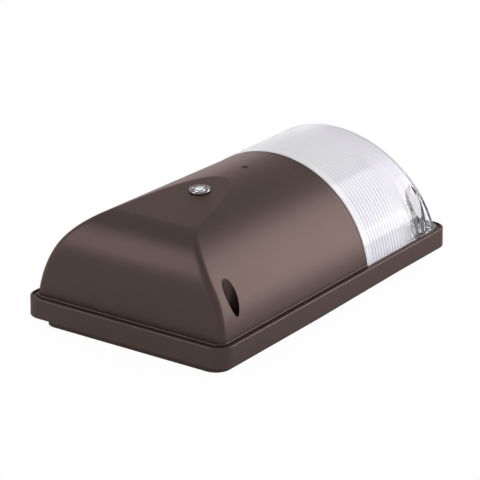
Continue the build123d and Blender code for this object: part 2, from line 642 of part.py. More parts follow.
def cover_screw(x, y):
    length = POCKET_SEAT - BOSS_HOLE_BOTTOM - SCREW_TIP_GAP
    screw = pan_screw(length, SCREW_RADIUS, SCREW_HEAD_RADIUS, SCREW_HEAD_HEIGHT)
    return Pos(x, y, POCKET_SEAT) * screw


def screw_washers():
    """Nylon washers under the pocket floors that keep the loosened screws captive."""
    low = FOOT_BOTTOM - CAPTIVE_WASHER_THICKNESS
    hole = SCREW_RADIUS + SCREW_RUNNING_GAP
    return group(rod(CAPTIVE_WASHER_RADIUS, low, FOOT_BOTTOM, x, y) - rod(hole, 0, ABOVE_ALL, x, y)
                 for x, y in SCREW_PLACES)


# ---------------------------------------------------------------- sensor
def photocell_seal():
    hole = on_sensor(SENSOR_RADIUS, -OVERCUT, SEAL_THICKNESS + OVERCUT)
    return on_sensor(SEAL_RADIUS, 0, SEAL_THICKNESS) - hole


def photocell_housing():
    return on_sensor(SENSOR_RADIUS, -SENSOR_LENGTH, SENSOR_TOP)


def photocell_bezel():
    ring = rod(BEZEL_RADIUS, SEAL_THICKNESS, SEAL_THICKNESS + BEZEL_HEIGHT)
    ring = fillet(ring.edges().group_by(Axis.Z)[-1], BEZEL_ROUND)
    ring -= rod(BEZEL_WINDOW_RADIUS, 0, ABOVE_ALL)
    return sensor_plane() * ring


def photocell_lens():
    ball = (BEZEL_WINDOW_RADIUS ** 2 + SENSOR_LENS_HEIGHT ** 2) / (2 * SENSOR_LENS_HEIGHT)
    cap = Pos(0, 0, SENSOR_TOP + SENSOR_LENS_HEIGHT - ball) * Sphere(ball)
    return sensor_plane() * (cap & rod(BEZEL_WINDOW_RADIUS, SENSOR_TOP, SENSOR_TOP + 2 * SENSOR_LENS_HEIGHT))


def photocell_nut():
    hexagon = RegularPolygon(SENSOR_NUT_FLATS / 2, 6, major_radius=False)
    nut = extrude(Pos(0, 0, -COVER_WALL - SENSOR_NUT_THICKNESS) * hexagon, amount=SENSOR_NUT_THICKNESS)
    return sensor_plane() * (nut - rod(SENSOR_RADIUS, -SENSOR_LENGTH, 0))


def sensor_plug():
    low = PLUG_BOTTOM + SOCKET_GAP
    return slab(PLUG_WIDTH, PLUG_DEPTH, PLUG_CORNER, low, low + PLUG_HEIGHT, y=PLUG_Y)


def sensor_socket():
    """Open-topped socket on the driver's lid that the plug drops into."""
    width, depth = PLUG_WIDTH + 2 * SOCKET_GAP, PLUG_DEPTH + 2 * SOCKET_GAP
    cup = slab(width + 2 * SOCKET_WALL, depth + 2 * SOCKET_WALL, PLUG_CORNER + SOCKET_WALL,
               DRIVER_TOP + DRIVER_LID, PLUG_BOTTOM + PLUG_INSERTION, y=PLUG_Y)
    return cup - slab(width, depth, PLUG_CORNER, PLUG_BOTTOM, ABOVE_ALL, y=PLUG_Y)


def photocell_lead(side):
    """Sensor lead from the body's bottom face down to the plug."""
    x = side * LEAD_SPACING / 2
    axis = sensor_plane()
    start = axis.origin + axis.z_dir * -SENSOR_LENGTH
    down = start - axis.z_dir * LEAD_START
    plug_top = PLUG_BOTTOM + SOCKET_GAP + PLUG_HEIGHT
    points = [(x, start.Y, start.Z), (x, down.Y, down.Z),
              (x, PLUG_Y, plug_top + LEAD_START), (x, PLUG_Y, plug_top)]
    return wire(points, LEAD_RADIUS)


# ---------------------------------------------------------------- driver
def driver_screw_places():
    reach = DRIVER_LENGTH / 2 + DRIVER_TAB / 2
    return [(0, DRIVER_Y - reach), (0, DRIVER_Y + reach)]


def driver_case():
    tab_length = DRIVER_LENGTH + 2 * DRIVER_TAB
    box = slab(DRIVER_WIDTH, DRIVER_LENGTH, DRIVER_CORNER, DRIVER_BOTTOM, DRIVER_TOP, y=DRIVER_Y)
    tabs = slab(2 * DRIVER_TAB, tab_length, DRIVER_CORNER,
                DRIVER_BOTTOM, DRIVER_BOTTOM + DRIVER_TAB_THICKNESS, y=DRIVER_Y)
    inside = slab(DRIVER_WIDTH - 2 * DRIVER_WALL, DRIVER_LENGTH - 2 * DRIVER_WALL,
                  DRIVER_CORNER - DRIVER_WALL, DRIVER_BOTTOM + DRIVER_WALL, ABOVE_ALL, y=DRIVER_Y)
    case = box + tabs - inside
    for x, y in driver_screw_places():
        case -= rod(SMALL_SCREW_RADIUS + HOLE_GAP, 0, DRIVER_TOP, x, y)
    for x, y, z, radius in driver_wire_exits():
        case -= Pos(x, y, z) * Rot(90, 0, 0) * Cylinder(radius + HOLE_GAP, 2 * (DRIVER_WALL + OVERCUT))
    return case


def driver_wire_exits():
    """Where wires leave the driver's end face: x, y, z and wire radius."""
    z = DRIVER_BOTTOM + DRIVER_HEIGHT / 2
    exits = [(x, DRIVER_START_Y, z, WIRE_RADIUS) for x in SUPPLY_EXIT_X]
    return exits + [(x, DRIVER_START_Y, z, LEAD_RADIUS) for x in LAMP_EXIT_X]


def driver_lid():
    plate = slab(DRIVER_WIDTH, DRIVER_LENGTH, DRIVER_CORNER, DRIVER_TOP, DRIVER_TOP + DRIVER_LID, y=DRIVER_Y)
    return fillet(plate.edges().group_by(Axis.Z)[-1], DRIVER_LID / 2)


def driver_board():
    low = DRIVER_BOTTOM + DRIVER_WALL
    width = DRIVER_WIDTH - 2 * (DRIVER_WALL + DRIVER_BOARD_SIDE_GAP)
    length = DRIVER_LENGTH - 2 * (DRIVER_WALL + DRIVER_BOARD_END_GAP)
    return block(width, length, low, low + BOARD_THICKNESS, y=DRIVER_Y)


def driver_components():
    """Transformer, choke and capacitors standing on the driver's board."""
    base = DRIVER_BOTTOM + DRIVER_WALL + BOARD_THICKNESS
    transformer = slab(TRANSFORMER_WIDTH, TRANSFORMER_LENGTH, TRANSFORMER_CORNER,
                       base, base + TRANSFORMER_HEIGHT, x=TRANSFORMER_X, y=DRIVER_Y)
    choke = rod(CHOKE_RADIUS, base, base + CHOKE_HEIGHT, CHOKE_X, DRIVER_Y + CHOKE_FROM_MIDDLE)
    capacitors = [rod(CAPACITOR_RADIUS, base, base + CAPACITOR_HEIGHT, step * CAPACITOR_PITCH,
                      DRIVER_Y + CAPACITOR_FROM_MIDDLE) for step in (-1, 0, 1)]
    return group([transformer, choke] + capacitors)


def driver_screws():
    top = DRIVER_BOTTOM + DRIVER_TAB_THICKNESS
    screw = small_screw(top - BLIND_FLOOR - SMALL_TIP_GAP)
    return group(Pos(x, y, top) * screw for x, y in driver_screw_places())


# ---------------------------------------------------------------- lamp carrier
def bracket_screw_places():
    x = BRACKET_WIDTH / 2 + BRACKET_FOOT - BRACKET_SCREW_FROM_EDGE
    ends = (BRACKET_START_Y + BRACKET_SCREW_FROM_END, BRACKET_END_Y - BRACKET_SCREW_FROM_END)
    return [(side * x, y) for side in (-1, 1) for y in ends]


def board_screw_places():
    x, y = BOARD_WIDTH / 2 - BOARD_SCREW_INSET, BOARD_LENGTH / 2 - BOARD_SCREW_INSET
    return [(sx * x, BOARD_Y + sy * y) for sx in (-1, 1) for sy in (-1, 1)]


def tray_screw_places():
    x = BOARD_WIDTH / 2 + TRAY_SCREW_FROM_BOARD
    return [(-x, BOARD_Y), (x, BOARD_Y)]


def led_bracket():
    """Hat-shaped aluminium sheet that carries the tray and the lamp board."""
    half, sheet, top = BRACKET_WIDTH / 2, BRACKET_SHEET, BRACKET_TOP
    foot = half + BRACKET_FOOT
    outside = [(foot, FLOOR), (foot, FLOOR + sheet), (half, FLOOR + sheet), (half, top)]
    inside = [(half - sheet, top - sheet), (half - sheet, FLOOR)]
    right = outside + [(-x, z) for x, z in reversed(outside)]
    under = [(-x, z) for x, z in reversed(inside)] + inside
    face = make_face(Plane.XZ * Polyline(*right, *under, close=True))
    upper = [v for v in face.vertices() if abs(v.Z - top) < HIT]
    face = fillet(upper, BRACKET_BEND)
    lower = [v for v in face.vertices() if abs(v.Z - top + sheet) < HIT]
    face = fillet(lower, BRACKET_BEND - sheet)
    bracket = extrude(face, amount=BRACKET_END_Y - BRACKET_START_Y)
    bracket = Pos(0, BRACKET_START_Y - bracket.bounding_box().min.Y, 0) * bracket
    for x, y in bracket_screw_places():
        bracket -= rod(SMALL_SCREW_RADIUS + HOLE_GAP, 0, ABOVE_ALL, x, y)
    for x, y in board_screw_places() + tray_screw_places():
        bracket -= rod(SMALL_SCREW_RADIUS + THREAD_GAP, 0, ABOVE_ALL, x, y)
    return bracket - rod(WIRE_HOLE_RADIUS, 0, ABOVE_ALL, y=WIRE_HOLE_Y)


def dish(low, high):
    """Loft between the tray's flat and its upper edge."""
    def outline(width, start, end, z):
        return Pos(0, (start + end) / 2, z) * RectangleRounded(width, end - start, TRAY_CORNER)

    flat = outline(TRAY_FLAT_WIDTH, BRACKET_START_Y + TRAY_FLAT_FROM_START,
                   BRACKET_END_Y - TRAY_FLAT_FROM_END, low)
    rim = outline(TRAY_TOP_WIDTH, TRAY_TOP_START_Y, TRAY_TOP_END_Y, high)
    return loft([flat, rim], ruled=True)


def reflector_tray():
    tray = dish(BRACKET_TOP, TRAY_TOP) - dish(BRACKET_TOP + TRAY_SHEET, TRAY_TOP + TRAY_SHEET)
    tray -= block(BOARD_WIDTH + 2 * BOARD_GAP, BOARD_LENGTH + 2 * BOARD_GAP, 0, ABOVE_ALL, y=BOARD_Y)
    for x, y in tray_screw_places():
        tray -= rod(SMALL_SCREW_RADIUS + HOLE_GAP, 0, ABOVE_ALL, x, y)
    for x, y in SCREW_PLACES:
        tray -= rod(POCKET_RADIUS + POCKET_WALL + TRAY_POCKET_GAP, 0, ABOVE_ALL, x, y)
    return tray - rod(WIRE_HOLE_RADIUS, 0, ABOVE_ALL, y=WIRE_HOLE_Y)


def wire_grommet():
    """Rubber grommet in the sheet where the lamp wires come up."""
    low, high = BRACKET_TOP - BRACKET_SHEET, BRACKET_TOP + TRAY_SHEET
    body = rod(WIRE_HOLE_RADIUS, low - GROMMET_LIP, high + GROMMET_LIP, y=WIRE_HOLE_Y)
    body += rod(WIRE_HOLE_RADIUS + GROMMET_LIP, low - GROMMET_LIP, low, y=WIRE_HOLE_Y)
    body += rod(WIRE_HOLE_RADIUS + GROMMET_LIP, high, high + GROMMET_LIP, y=WIRE_HOLE_Y)
    for side in (-1, 1):
        body -= rod(LEAD_RADIUS + HOLE_GAP, 0, ABOVE_ALL, x=side * LEAD_SPACING / 2, y=WIRE_HOLE_Y)
    return body


def led_board():
    board = block(BOARD_WIDTH, BOARD_LENGTH, BRACKET_TOP, BOARD_TOP, y=BOARD_Y)
    for x, y in board_screw_places():
        board -= rod(SMALL_SCREW_RADIUS + HOLE_GAP, 0, ABOVE_ALL, x, y)
    return board


def lamp_places():
    """Grid of lamps on the board, without those that a screw head would cover."""
    keep_off = LAMP_TO_SCREW_HEAD + SMALL_HEAD_RADIUS
    places = [((column - (LAMP_COLUMNS - 1) / 2) * LAMP_PITCH_X,
               BOARD_Y + LAMPS_OFF_MIDDLE + (row - (LAMP_ROWS - 1) / 2) * LAMP_PITCH_Y)
              for column in range(LAMP_COLUMNS) for row in range(LAMP_ROWS)]
    return [(x, y) for x, y in places
            if all(hypot(x - sx, y - sy) > keep_off for sx, sy in board_screw_places())]


def led_packages():
    return group(block(LAMP_SIDE, LAMP_SIDE, BOARD_TOP, BOARD_TOP + LAMP_HEIGHT, x, y)
                 - rod(LAMP_WINDOW_RADIUS, BOARD_TOP, ABOVE_ALL, x, y) for x, y in lamp_places())


def led_phosphors():
    top = BOARD_TOP + LAMP_HEIGHT - LAMP_WINDOW_RECESS
    return group(rod(LAMP_WINDOW_RADIUS, BOARD_TOP, top, x, y) for x, y in lamp_places())


def led_connector():
    y = CONNECTOR_FACE_Y - CONNECTOR_LENGTH / 2
    return slab(CONNECTOR_WIDTH, CONNECTOR_LENGTH, CONNECTOR_CORNER, BOARD_TOP, BOARD_TOP + CONNECTOR_HEIGHT,
                y=y)


def led_board_screws():
    screw = small_screw(BOARD_THICKNESS + BRACKET_SHEET)
    return group(Pos(x, y, BOARD_TOP) * screw for x, y in board_screw_places())


def tray_screws():
    screw = small_screw(TRAY_SHEET + BRACKET_SHEET)
    return group(Pos(x, y, BRACKET_TOP + TRAY_SHEET) * screw for x, y in tray_screw_places())


def bracket_screws():
    top = FLOOR + BRACKET_SHEET
    screw = small_screw(top - BLIND_FLOOR - SMALL_TIP_GAP)
    return group(Pos(x, y, top) * screw for x, y in bracket_screw_places())


# ---------------------------------------------------------------- wiring
def supply_wire(exit_number, cap):
    """Supply wire from the driver's end face down to its cap."""
    x, y, z, radius = driver_wire_exits()[exit_number]
    cap_x = CAP_X[cap]
    points = [(x, y + DRIVER_WALL, z), (x, y - WIRE_START, z),
              ((x + cap_x) / 2, SUPPLY_TURN_Y, (z + CAP_Z) / 2),
              (cap_x, CAP_START_Y + WIRE_START, CAP_Z), (cap_x, CAP_START_Y, CAP_Z)]
    return wire(points, radius)


def ground_wire():
    z = RING_LEVEL + RING_SHEET + WIRE_RADIUS
    barrel_end = GROUND_Y - RING_RADIUS - RING_BARREL
    cap_x = CAP_X["ground"]
    points = [(GROUND_X, barrel_end + GROUND_WIRE_START, z), (GROUND_X, barrel_end - GROUND_WIRE_START, z),
              (cap_x, CAP_START_Y + 2 * GROUND_WIRE_START, CAP_Z), (cap_x, CAP_START_Y, CAP_Z)]
    return wire(points, WIRE_RADIUS)


def lamp_wire(exit_number, side):
    """Lamp wire from the driver, under the tray, up through the grommet to the connector."""
    x, y, z, radius = driver_wire_exits()[exit_number]
    low = FLOOR + LAMP_WIRE_ABOVE_FLOOR
    up_x = side * LEAD_SPACING / 2
    over = BOARD_TOP + CONNECTOR_HEIGHT / 2
    points = [(x, y + DRIVER_WALL, z), (x, y - WIRE_START, z),
              (x, LAMP_WIRE_DROP_Y, low + LAMP_WIRE_DROP), (up_x, LAMP_WIRE_LEVEL_Y, low),
              (up_x, WIRE_HOLE_Y, low), (up_x, WIRE_HOLE_Y, over), (up_x, CONNECTOR_FACE_Y, over)]
    return wire(points, radius)


def wire_caps():
    """Twist-on caps lying on the floor, each closed round its wire."""
    caps = []
    for name, x in CAP_X.items():
        grip = Plane(origin=(x, CAP_START_Y, CAP_Z), x_dir=(1, 0, 0), z_dir=(0, -1, 0))
        cone = loft([grip * Circle(CAP_RADIUS), grip.offset(CAP_LENGTH) * Circle(CAP_TIP_RADIUS)])
        caps.append(cone)
    return group(caps)


def ground_terminal():
    top = RING_LEVEL + RING_SHEET
    disc = rod(RING_RADIUS, RING_LEVEL, top, GROUND_X, GROUND_Y)
    disc += block(RING_BARREL_WIDTH, RING_BARREL + OVERCUT, RING_LEVEL, top,
                  GROUND_X, GROUND_Y - RING_RADIUS - (RING_BARREL - OVERCUT) / 2)
    return disc - rod(SMALL_SCREW_RADIUS + HOLE_GAP, 0, ABOVE_ALL, GROUND_X, GROUND_Y)


def ground_screw():
    length = RING_SHEET + GROUND_BOSS_HEIGHT
    screw = pan_screw(length, SMALL_SCREW_RADIUS, GROUND_HEAD_RADIUS, SMALL_HEAD_HEIGHT)
    return Pos(GROUND_X, GROUND_Y, RING_LEVEL + RING_SHEET) * screw


# ---------------------------------------------------------------- every sub-part
PARTS = {
    "back_housing": back_housing, "wall_gasket": wall_gasket, "entry_bushing": entry_bushing,
    "cover_gasket": cover_gasket, "front_cover": front_cover, "lens": lens, "seam_gasket": seam_gasket,
    "lens_retainer": lens_retainer, "retainer_screws": retainer_screws, "screw_washers": screw_washers,
    "photocell_seal": photocell_seal, "photocell_housing": photocell_housing,
    "photocell_bezel": photocell_bezel, "photocell_lens": photocell_lens, "photocell_nut": photocell_nut,
    "photocell_lead_black": lambda: photocell_lead(-1), "photocell_lead_white": lambda: photocell_lead(1),
    "sensor_plug": sensor_plug, "sensor_socket": sensor_socket, "driver_case": driver_case,
    "driver_lid": driver_lid, "driver_board": driver_board, "driver_components": driver_components,
    "driver_screws": driver_screws, "led_bracket": led_bracket, "bracket_screws": bracket_screws,
    "reflector_tray": reflector_tray, "tray_screws": tray_screws, "wire_grommet": wire_grommet,
    "led_board": led_board, "led_packages": led_packages, "led_phosphors": led_phosphors,
    "led_connector": led_connector, "led_board_screws": led_board_screws,
    "line_wire": lambda: supply_wire(0, "line"), "neutral_wire": lambda: supply_wire(1, "neutral"),
    "ground_wire": ground_wire, "led_wire_positive": lambda: lamp_wire(2, 1),
    "led_wire_negative": lambda: lamp_wire(3, -1), "wire_caps": wire_caps,
    "ground_terminal": ground_terminal, "ground_screw": ground_screw,
}

os.makedirs("parts", exist_ok=True)
for name, make in PARTS.items():
    export_step(make(), f"parts/{name}.step")
for number, (x, y) in enumerate(SCREW_PLACES, start=1):
    export_step(cover_screw(x, y), f"parts/cover_screw_{number}.step")
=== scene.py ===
"""Wall pack light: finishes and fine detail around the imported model, laid out as a Blender add-on.

Everything is in metres in the model's own frame: the wall plane is z = 0, +Z points out of the wall,
+Y is the scooped end with the sensor and -Y is the end with the clear lens.
"""
from math import cos, floor, pi, radians, sin, sqrt

import bmesh
import bpy
from mathutils import Matrix, Vector


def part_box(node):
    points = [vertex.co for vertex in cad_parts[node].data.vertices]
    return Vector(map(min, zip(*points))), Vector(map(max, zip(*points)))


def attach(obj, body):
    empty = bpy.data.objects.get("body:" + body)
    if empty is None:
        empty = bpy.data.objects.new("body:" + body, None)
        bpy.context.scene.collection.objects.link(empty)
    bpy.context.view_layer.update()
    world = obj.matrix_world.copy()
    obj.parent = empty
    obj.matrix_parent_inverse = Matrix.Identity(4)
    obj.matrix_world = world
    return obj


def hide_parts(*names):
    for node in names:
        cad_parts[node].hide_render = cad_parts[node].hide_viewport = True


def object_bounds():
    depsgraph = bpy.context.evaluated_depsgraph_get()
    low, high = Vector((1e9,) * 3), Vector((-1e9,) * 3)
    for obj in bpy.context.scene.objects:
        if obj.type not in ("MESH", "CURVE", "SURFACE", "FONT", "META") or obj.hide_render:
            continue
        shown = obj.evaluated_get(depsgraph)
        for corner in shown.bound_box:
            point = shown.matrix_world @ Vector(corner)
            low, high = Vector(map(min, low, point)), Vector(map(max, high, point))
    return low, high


bl_info = {
    "name": "Wall pack light",
    "version": (1, 0, 0),
    "blender": (4, 5, 0),
    "location": "3D View > Sidebar > Wall pack",
    "description": "Finishes and fine detail of a small outdoor wall pack light",
    "category": "Object",
}

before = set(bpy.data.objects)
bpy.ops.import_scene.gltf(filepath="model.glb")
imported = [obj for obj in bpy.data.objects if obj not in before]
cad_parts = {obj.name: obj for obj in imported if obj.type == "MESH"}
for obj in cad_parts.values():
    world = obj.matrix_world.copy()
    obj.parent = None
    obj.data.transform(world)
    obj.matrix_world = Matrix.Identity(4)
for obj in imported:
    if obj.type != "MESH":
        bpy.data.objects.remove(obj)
CAD_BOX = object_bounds()
MM = 0.001


def linear(code):
    """Linear colour of an sRGB hex value."""
    parts = [int(code[i:i + 2], 16) / 255 for i in (1, 3, 5)]
    return tuple(c / 12.92 if c <= 0.04045 else ((c + 0.055) / 1.055) ** 2.4 for c in parts)


def colour(name, description, code):
    return bpy.props.FloatVectorProperty(name=name, description=description, subtype="COLOR",
                                         default=linear(code), min=0.0, max=1.0)


def length(name, description, millimetres):
    return bpy.props.FloatProperty(name=name, description=description, unit="LENGTH",
                                   default=millimetres * MM, min=0.0, precision=5)


def number(name, description, default):
    return bpy.props.IntProperty(name=name, description=description, default=default, min=1)


def share(name, description, default):
    return bpy.props.FloatProperty(name=name, description=description, subtype="FACTOR",
                                   default=default, min=0.0, max=1.0)


def power(name, description, watts):
    return bpy.props.FloatProperty(name=name, description=description, unit="POWER", default=watts, min=0.0)


# ---------------------------------------------------------------- settings
class WallPackFinishes(bpy.types.PropertyGroup):
    bronze: colour("Bronze", "Powder coat on the housing and the cover", "#443836")
    bronze_light: colour("Bronze, thin", "Where the powder coat lies a little thinner", "#4A3E3B")
    bronze_sheen: colour("Bronze sheen", "Tone of the light that the powder coat throws back", "#D9BFB8")
    # The lens colour doubles as the painted highlight at each rib crest; lens_gap is painted shade between
    # the ribs.
    lens: colour("Lens", "Clear moulded lens", "#FBFAFD")
    lens_gap: colour("Lens between ribs", "Lens where less light gathers between two ribs", "#D0CEDC")
    clearness: share("Lens clearness", "Light that goes straight through the top of the lens", 0.38)
    clearness_low: share("Lens clearness, low", "The same where the lens stands upright", 0.28)
    clearness_end: share("Lens clearness, end", "The same beyond the ribs, where the lens is smooth", 0.5)
    clearness_foot: share("Lens clearness, foot", "The same beside the screw pockets", 0.96)
    lens_end: colour("Lens end", "Smooth end of the lens, where one looks through it", "#ECEAF1")
    lens_sheen: share("Lens sheen", "Strength of the reflections on the lens", 0.07)
    chrome: colour("Chrome", "Plated ring of the sensor", "#857F7D")
    window: colour("Sensor window", "Clear window over the sensor's cell", "#F4F7FA")
    zinc: colour("Zinc", "Plated screws", "#C3C4C6")
    foam: colour("Foam", "Wall gasket, seal and grommet", "#1B1B1C")
    silicone: colour("Silicone", "Gaskets under the cover and at the seam", "#C9C8C4")
    black_nylon: colour("Black nylon", "Sensor body, nut, washers and bushing", "#161617")
    white_nylon: colour("White nylon", "Plugs, sockets and lamp bodies", "#E6E5E0")
    driver: colour("Driver", "Moulded driver case", "#D6D5D0")
    laminate: colour("Board", "Driver's circuit board", "#1E5B34")
    resist: colour("Lamp board", "White solder resist on the lamp board", "#ECECEA")
    phosphor: colour("Phosphor", "Cast resin in each lamp", "#F0CF55")
    aluminium: colour("Aluminium", "Lamp bracket", "#C6C7C8")
    enamel: colour("Enamel", "Reflector tray", "#F0F0EE")
    caps: colour("Wire caps", "Twist-on caps", "#D8702A")
    tin: colour("Tin", "Ground terminal", "#CFCBC2")
    green: colour("Green", "Ground screw and wire", "#1E7A3C")
    red: colour("Red", "Lamp wire", "#A51F1F")


class WallPackScrews(bpy.types.PropertyGroup):
    pitch: length("Thread pitch", "Distance between the threads of a cover screw", 0.7)
    depth: length("Thread depth", "Depth of the threads of a cover screw", 0.38)
    recess: length("Recess", "Width of the cross recess in a cover screw's head", 4.2)
    recess_depth: length("Recess depth", "Depth of the cross recess", 1.7)
    wing: length("Recess wing", "Width of each wing of the cross recess", 0.95)
    turn: length("Head round", "Rounding of the head's upper edge", 1.3)


class WallPackCaps(bpy.types.PropertyGroup):
    flutes: number("Flutes", "Grip flutes round a wire cap", 16)
    flute_depth: length("Flute depth", "Depth of the grip flutes", 0.42)
    wall: length("Wall", "Thickness of the skirt at a cap's mouth", 1.0)
    mouth: length("Mouth", "Depth of a cap's open mouth", 5.0)


class WallPackRibs(bpy.types.PropertyGroup):
    # Pitch, start and end place the lens's painted rib lines of highlight and shade.
    pitch: length("Pitch", "Distance between two ribs of the lens", 3.0)
    start: length("Start", "Distance of the first rib from the middle of the light", 38.5)
    end: length("End", "Distance at which the ribs have faded out", 90.0)
    # over_top sets the strength of the painted rib highlights and shade where the lens faces up.
    over_top: share("Over the top", "Strength of the ribs where the lens faces up", 0.3)


class WallPackSensor(bpy.types.PropertyGroup):
    cell: length("Cell", "Radius of the light-sensitive cell's can", 2.9)
    track: length("Track", "Width of the cell's meandering track", 0.22)
    tracks: number("Tracks", "Straight runs of the meandering track", 6)
    dome: length("Window height", "Height of the clear window over its ring", 1.7)


class WallPackStage(bpy.types.PropertyGroup):
    floor: colour("Floor", "Floor that the light lies on", "#F2F2F2")
    white: share("White floor", "How far the camera sees the floor as plain white", 0.97)
    mirrored: share("Mirrored floor", "How far metal mirrors the floor as plain white", 0.4)
    world: share("World", "Brightness of the light from all round", 0.55)
    sky: share("Sky", "Brightness that metal and glass mirror from overhead", 0.7)
    side: power("Side light", "Softbox beside the lens end", 4.25)
    top: power("Top light", "Small softbox over the scooped end", 2.1)
    back: power("Back light", "Low softbox beyond the crest", 0.85)
    low: power("Low light", "Low strip beside the foot of the cover", 0.6)
    fill: power("Fill light", "Large softbox behind the camera", 1.0)


GROUPS = {"finishes": WallPackFinishes, "ribs": WallPackRibs, "screws": WallPackScrews,
          "caps": WallPackCaps, "sensor": WallPackSensor, "stage": WallPackStage}


def settings(group):
    return getattr(bpy.context.scene, "wall_pack_" + group)


# ---------------------------------------------------------------- shader helpers
def feature(millimetres):
    """Texture scale at which one grain or cell has this size, for coordinates in metres."""
    return 1.0 / (millimetres * MM)


def add(tree, kind, inputs=None, **values):
    """Adds a shader node: values are its settings, inputs its sockets' numbers or links."""
    node = tree.nodes.new("ShaderNode" + kind)
    for name, value in values.items():
        setattr(node, name, value)
    for name, value in (inputs or {}).items():
        if isinstance(value, bpy.types.NodeSocket):
            tree.links.new(value, node.inputs[name])
        else:
            node.inputs[name].default_value = value
    return node


def start_material(name, base, metallic=0.0, roughness=0.5, **more):
    """Material with one Principled shader; returns it, its tree, the shader and object coordinates."""
    material = bpy.data.materials.new(name)
    material.use_nodes = True
    tree = material.node_tree
    shader = tree.nodes["Principled BSDF"]
    shader.inputs["Base Color"].default_value = (*base, 1.0)
    shader.inputs["Metallic"].default_value = metallic
    shader.inputs["Roughness"].default_value = roughness
    for socket, value in more.items():
        shader.inputs[socket.replace("_", " ")].default_value = value
    return material, tree, shader, add(tree, "TexCoord").outputs["Object"]


def vary_colour(tree, shader, height, first, second):
    """Lets a texture's height mix two near colours into the base colour."""
    mix = add(tree, "Mix", {0: height, 6: (*first, 1.0), 7: (*second, 1.0)}, data_type="RGBA")
    tree.links.new(mix.outputs[2], shader.inputs["Base Color"])


def vary_roughness(tree, shader, height, low, high):
    spread = add(tree, "MapRange", {"Value": height, "To Min": low, "To Max": high})
    tree.links.new(spread.outputs["Result"], shader.inputs["Roughness"])


def emboss(tree, shader, height, depth_mm, strength=1.0):
    """Turns a texture's height into a bump of a real depth."""
    bump = add(tree, "Bump", {"Height": height, "Distance": depth_mm * MM, "Strength": strength})
    tree.links.new(bump.outputs["Normal"], shader.inputs["Normal"])


def shade(base, factor):
    return tuple(min(1.0, c * factor) for c in base)


# ---------------------------------------------------------------- materials
def bronze_powder_coat():
    """Baked polyester powder with fine metal flake on a die casting.

    The flake gives a satin sheen in the coat's own brown; the powder leaves the soft ripple that is called
    orange peel.
    """
    finish = settings("finishes")
    material, tree, shader, place = start_material(
        "bronze_powder_coat", finish.bronze, 0.6, 0.4, Specular_Tint=(*finish.bronze_sheen, 1.0))
    peel = add(tree, "TexNoise", {"Vector": place, "Scale": feature(1.1), "Detail": 2.0})
    grain = add(tree, "TexNoise", {"Vector": place, "Scale": feature(0.25), "Detail": 1.0})
    cloud = add(tree, "TexNoise", {"Vector": place, "Scale": feature(38), "Detail": 3.0})
    relief = add(tree, "Math", {0: peel.outputs["Fac"], 1: grain.outputs["Fac"]}, operation="ADD")
    vary_colour(tree, shader, cloud.outputs["Fac"], finish.bronze, finish.bronze_light)
    vary_roughness(tree, shader, peel.outputs["Fac"], 0.36, 0.45)
    emboss(tree, shader, relief.outputs[0], 0.012, 0.6)
    return material


RIBS_FADE = 22 * MM  # length over which the ribbed look of the lens, with its painted rib lines, fades out
SEAM_BLEND = 0.6 * MM  # from the ribs to the painted highlight along the lens's thick edge at the seam
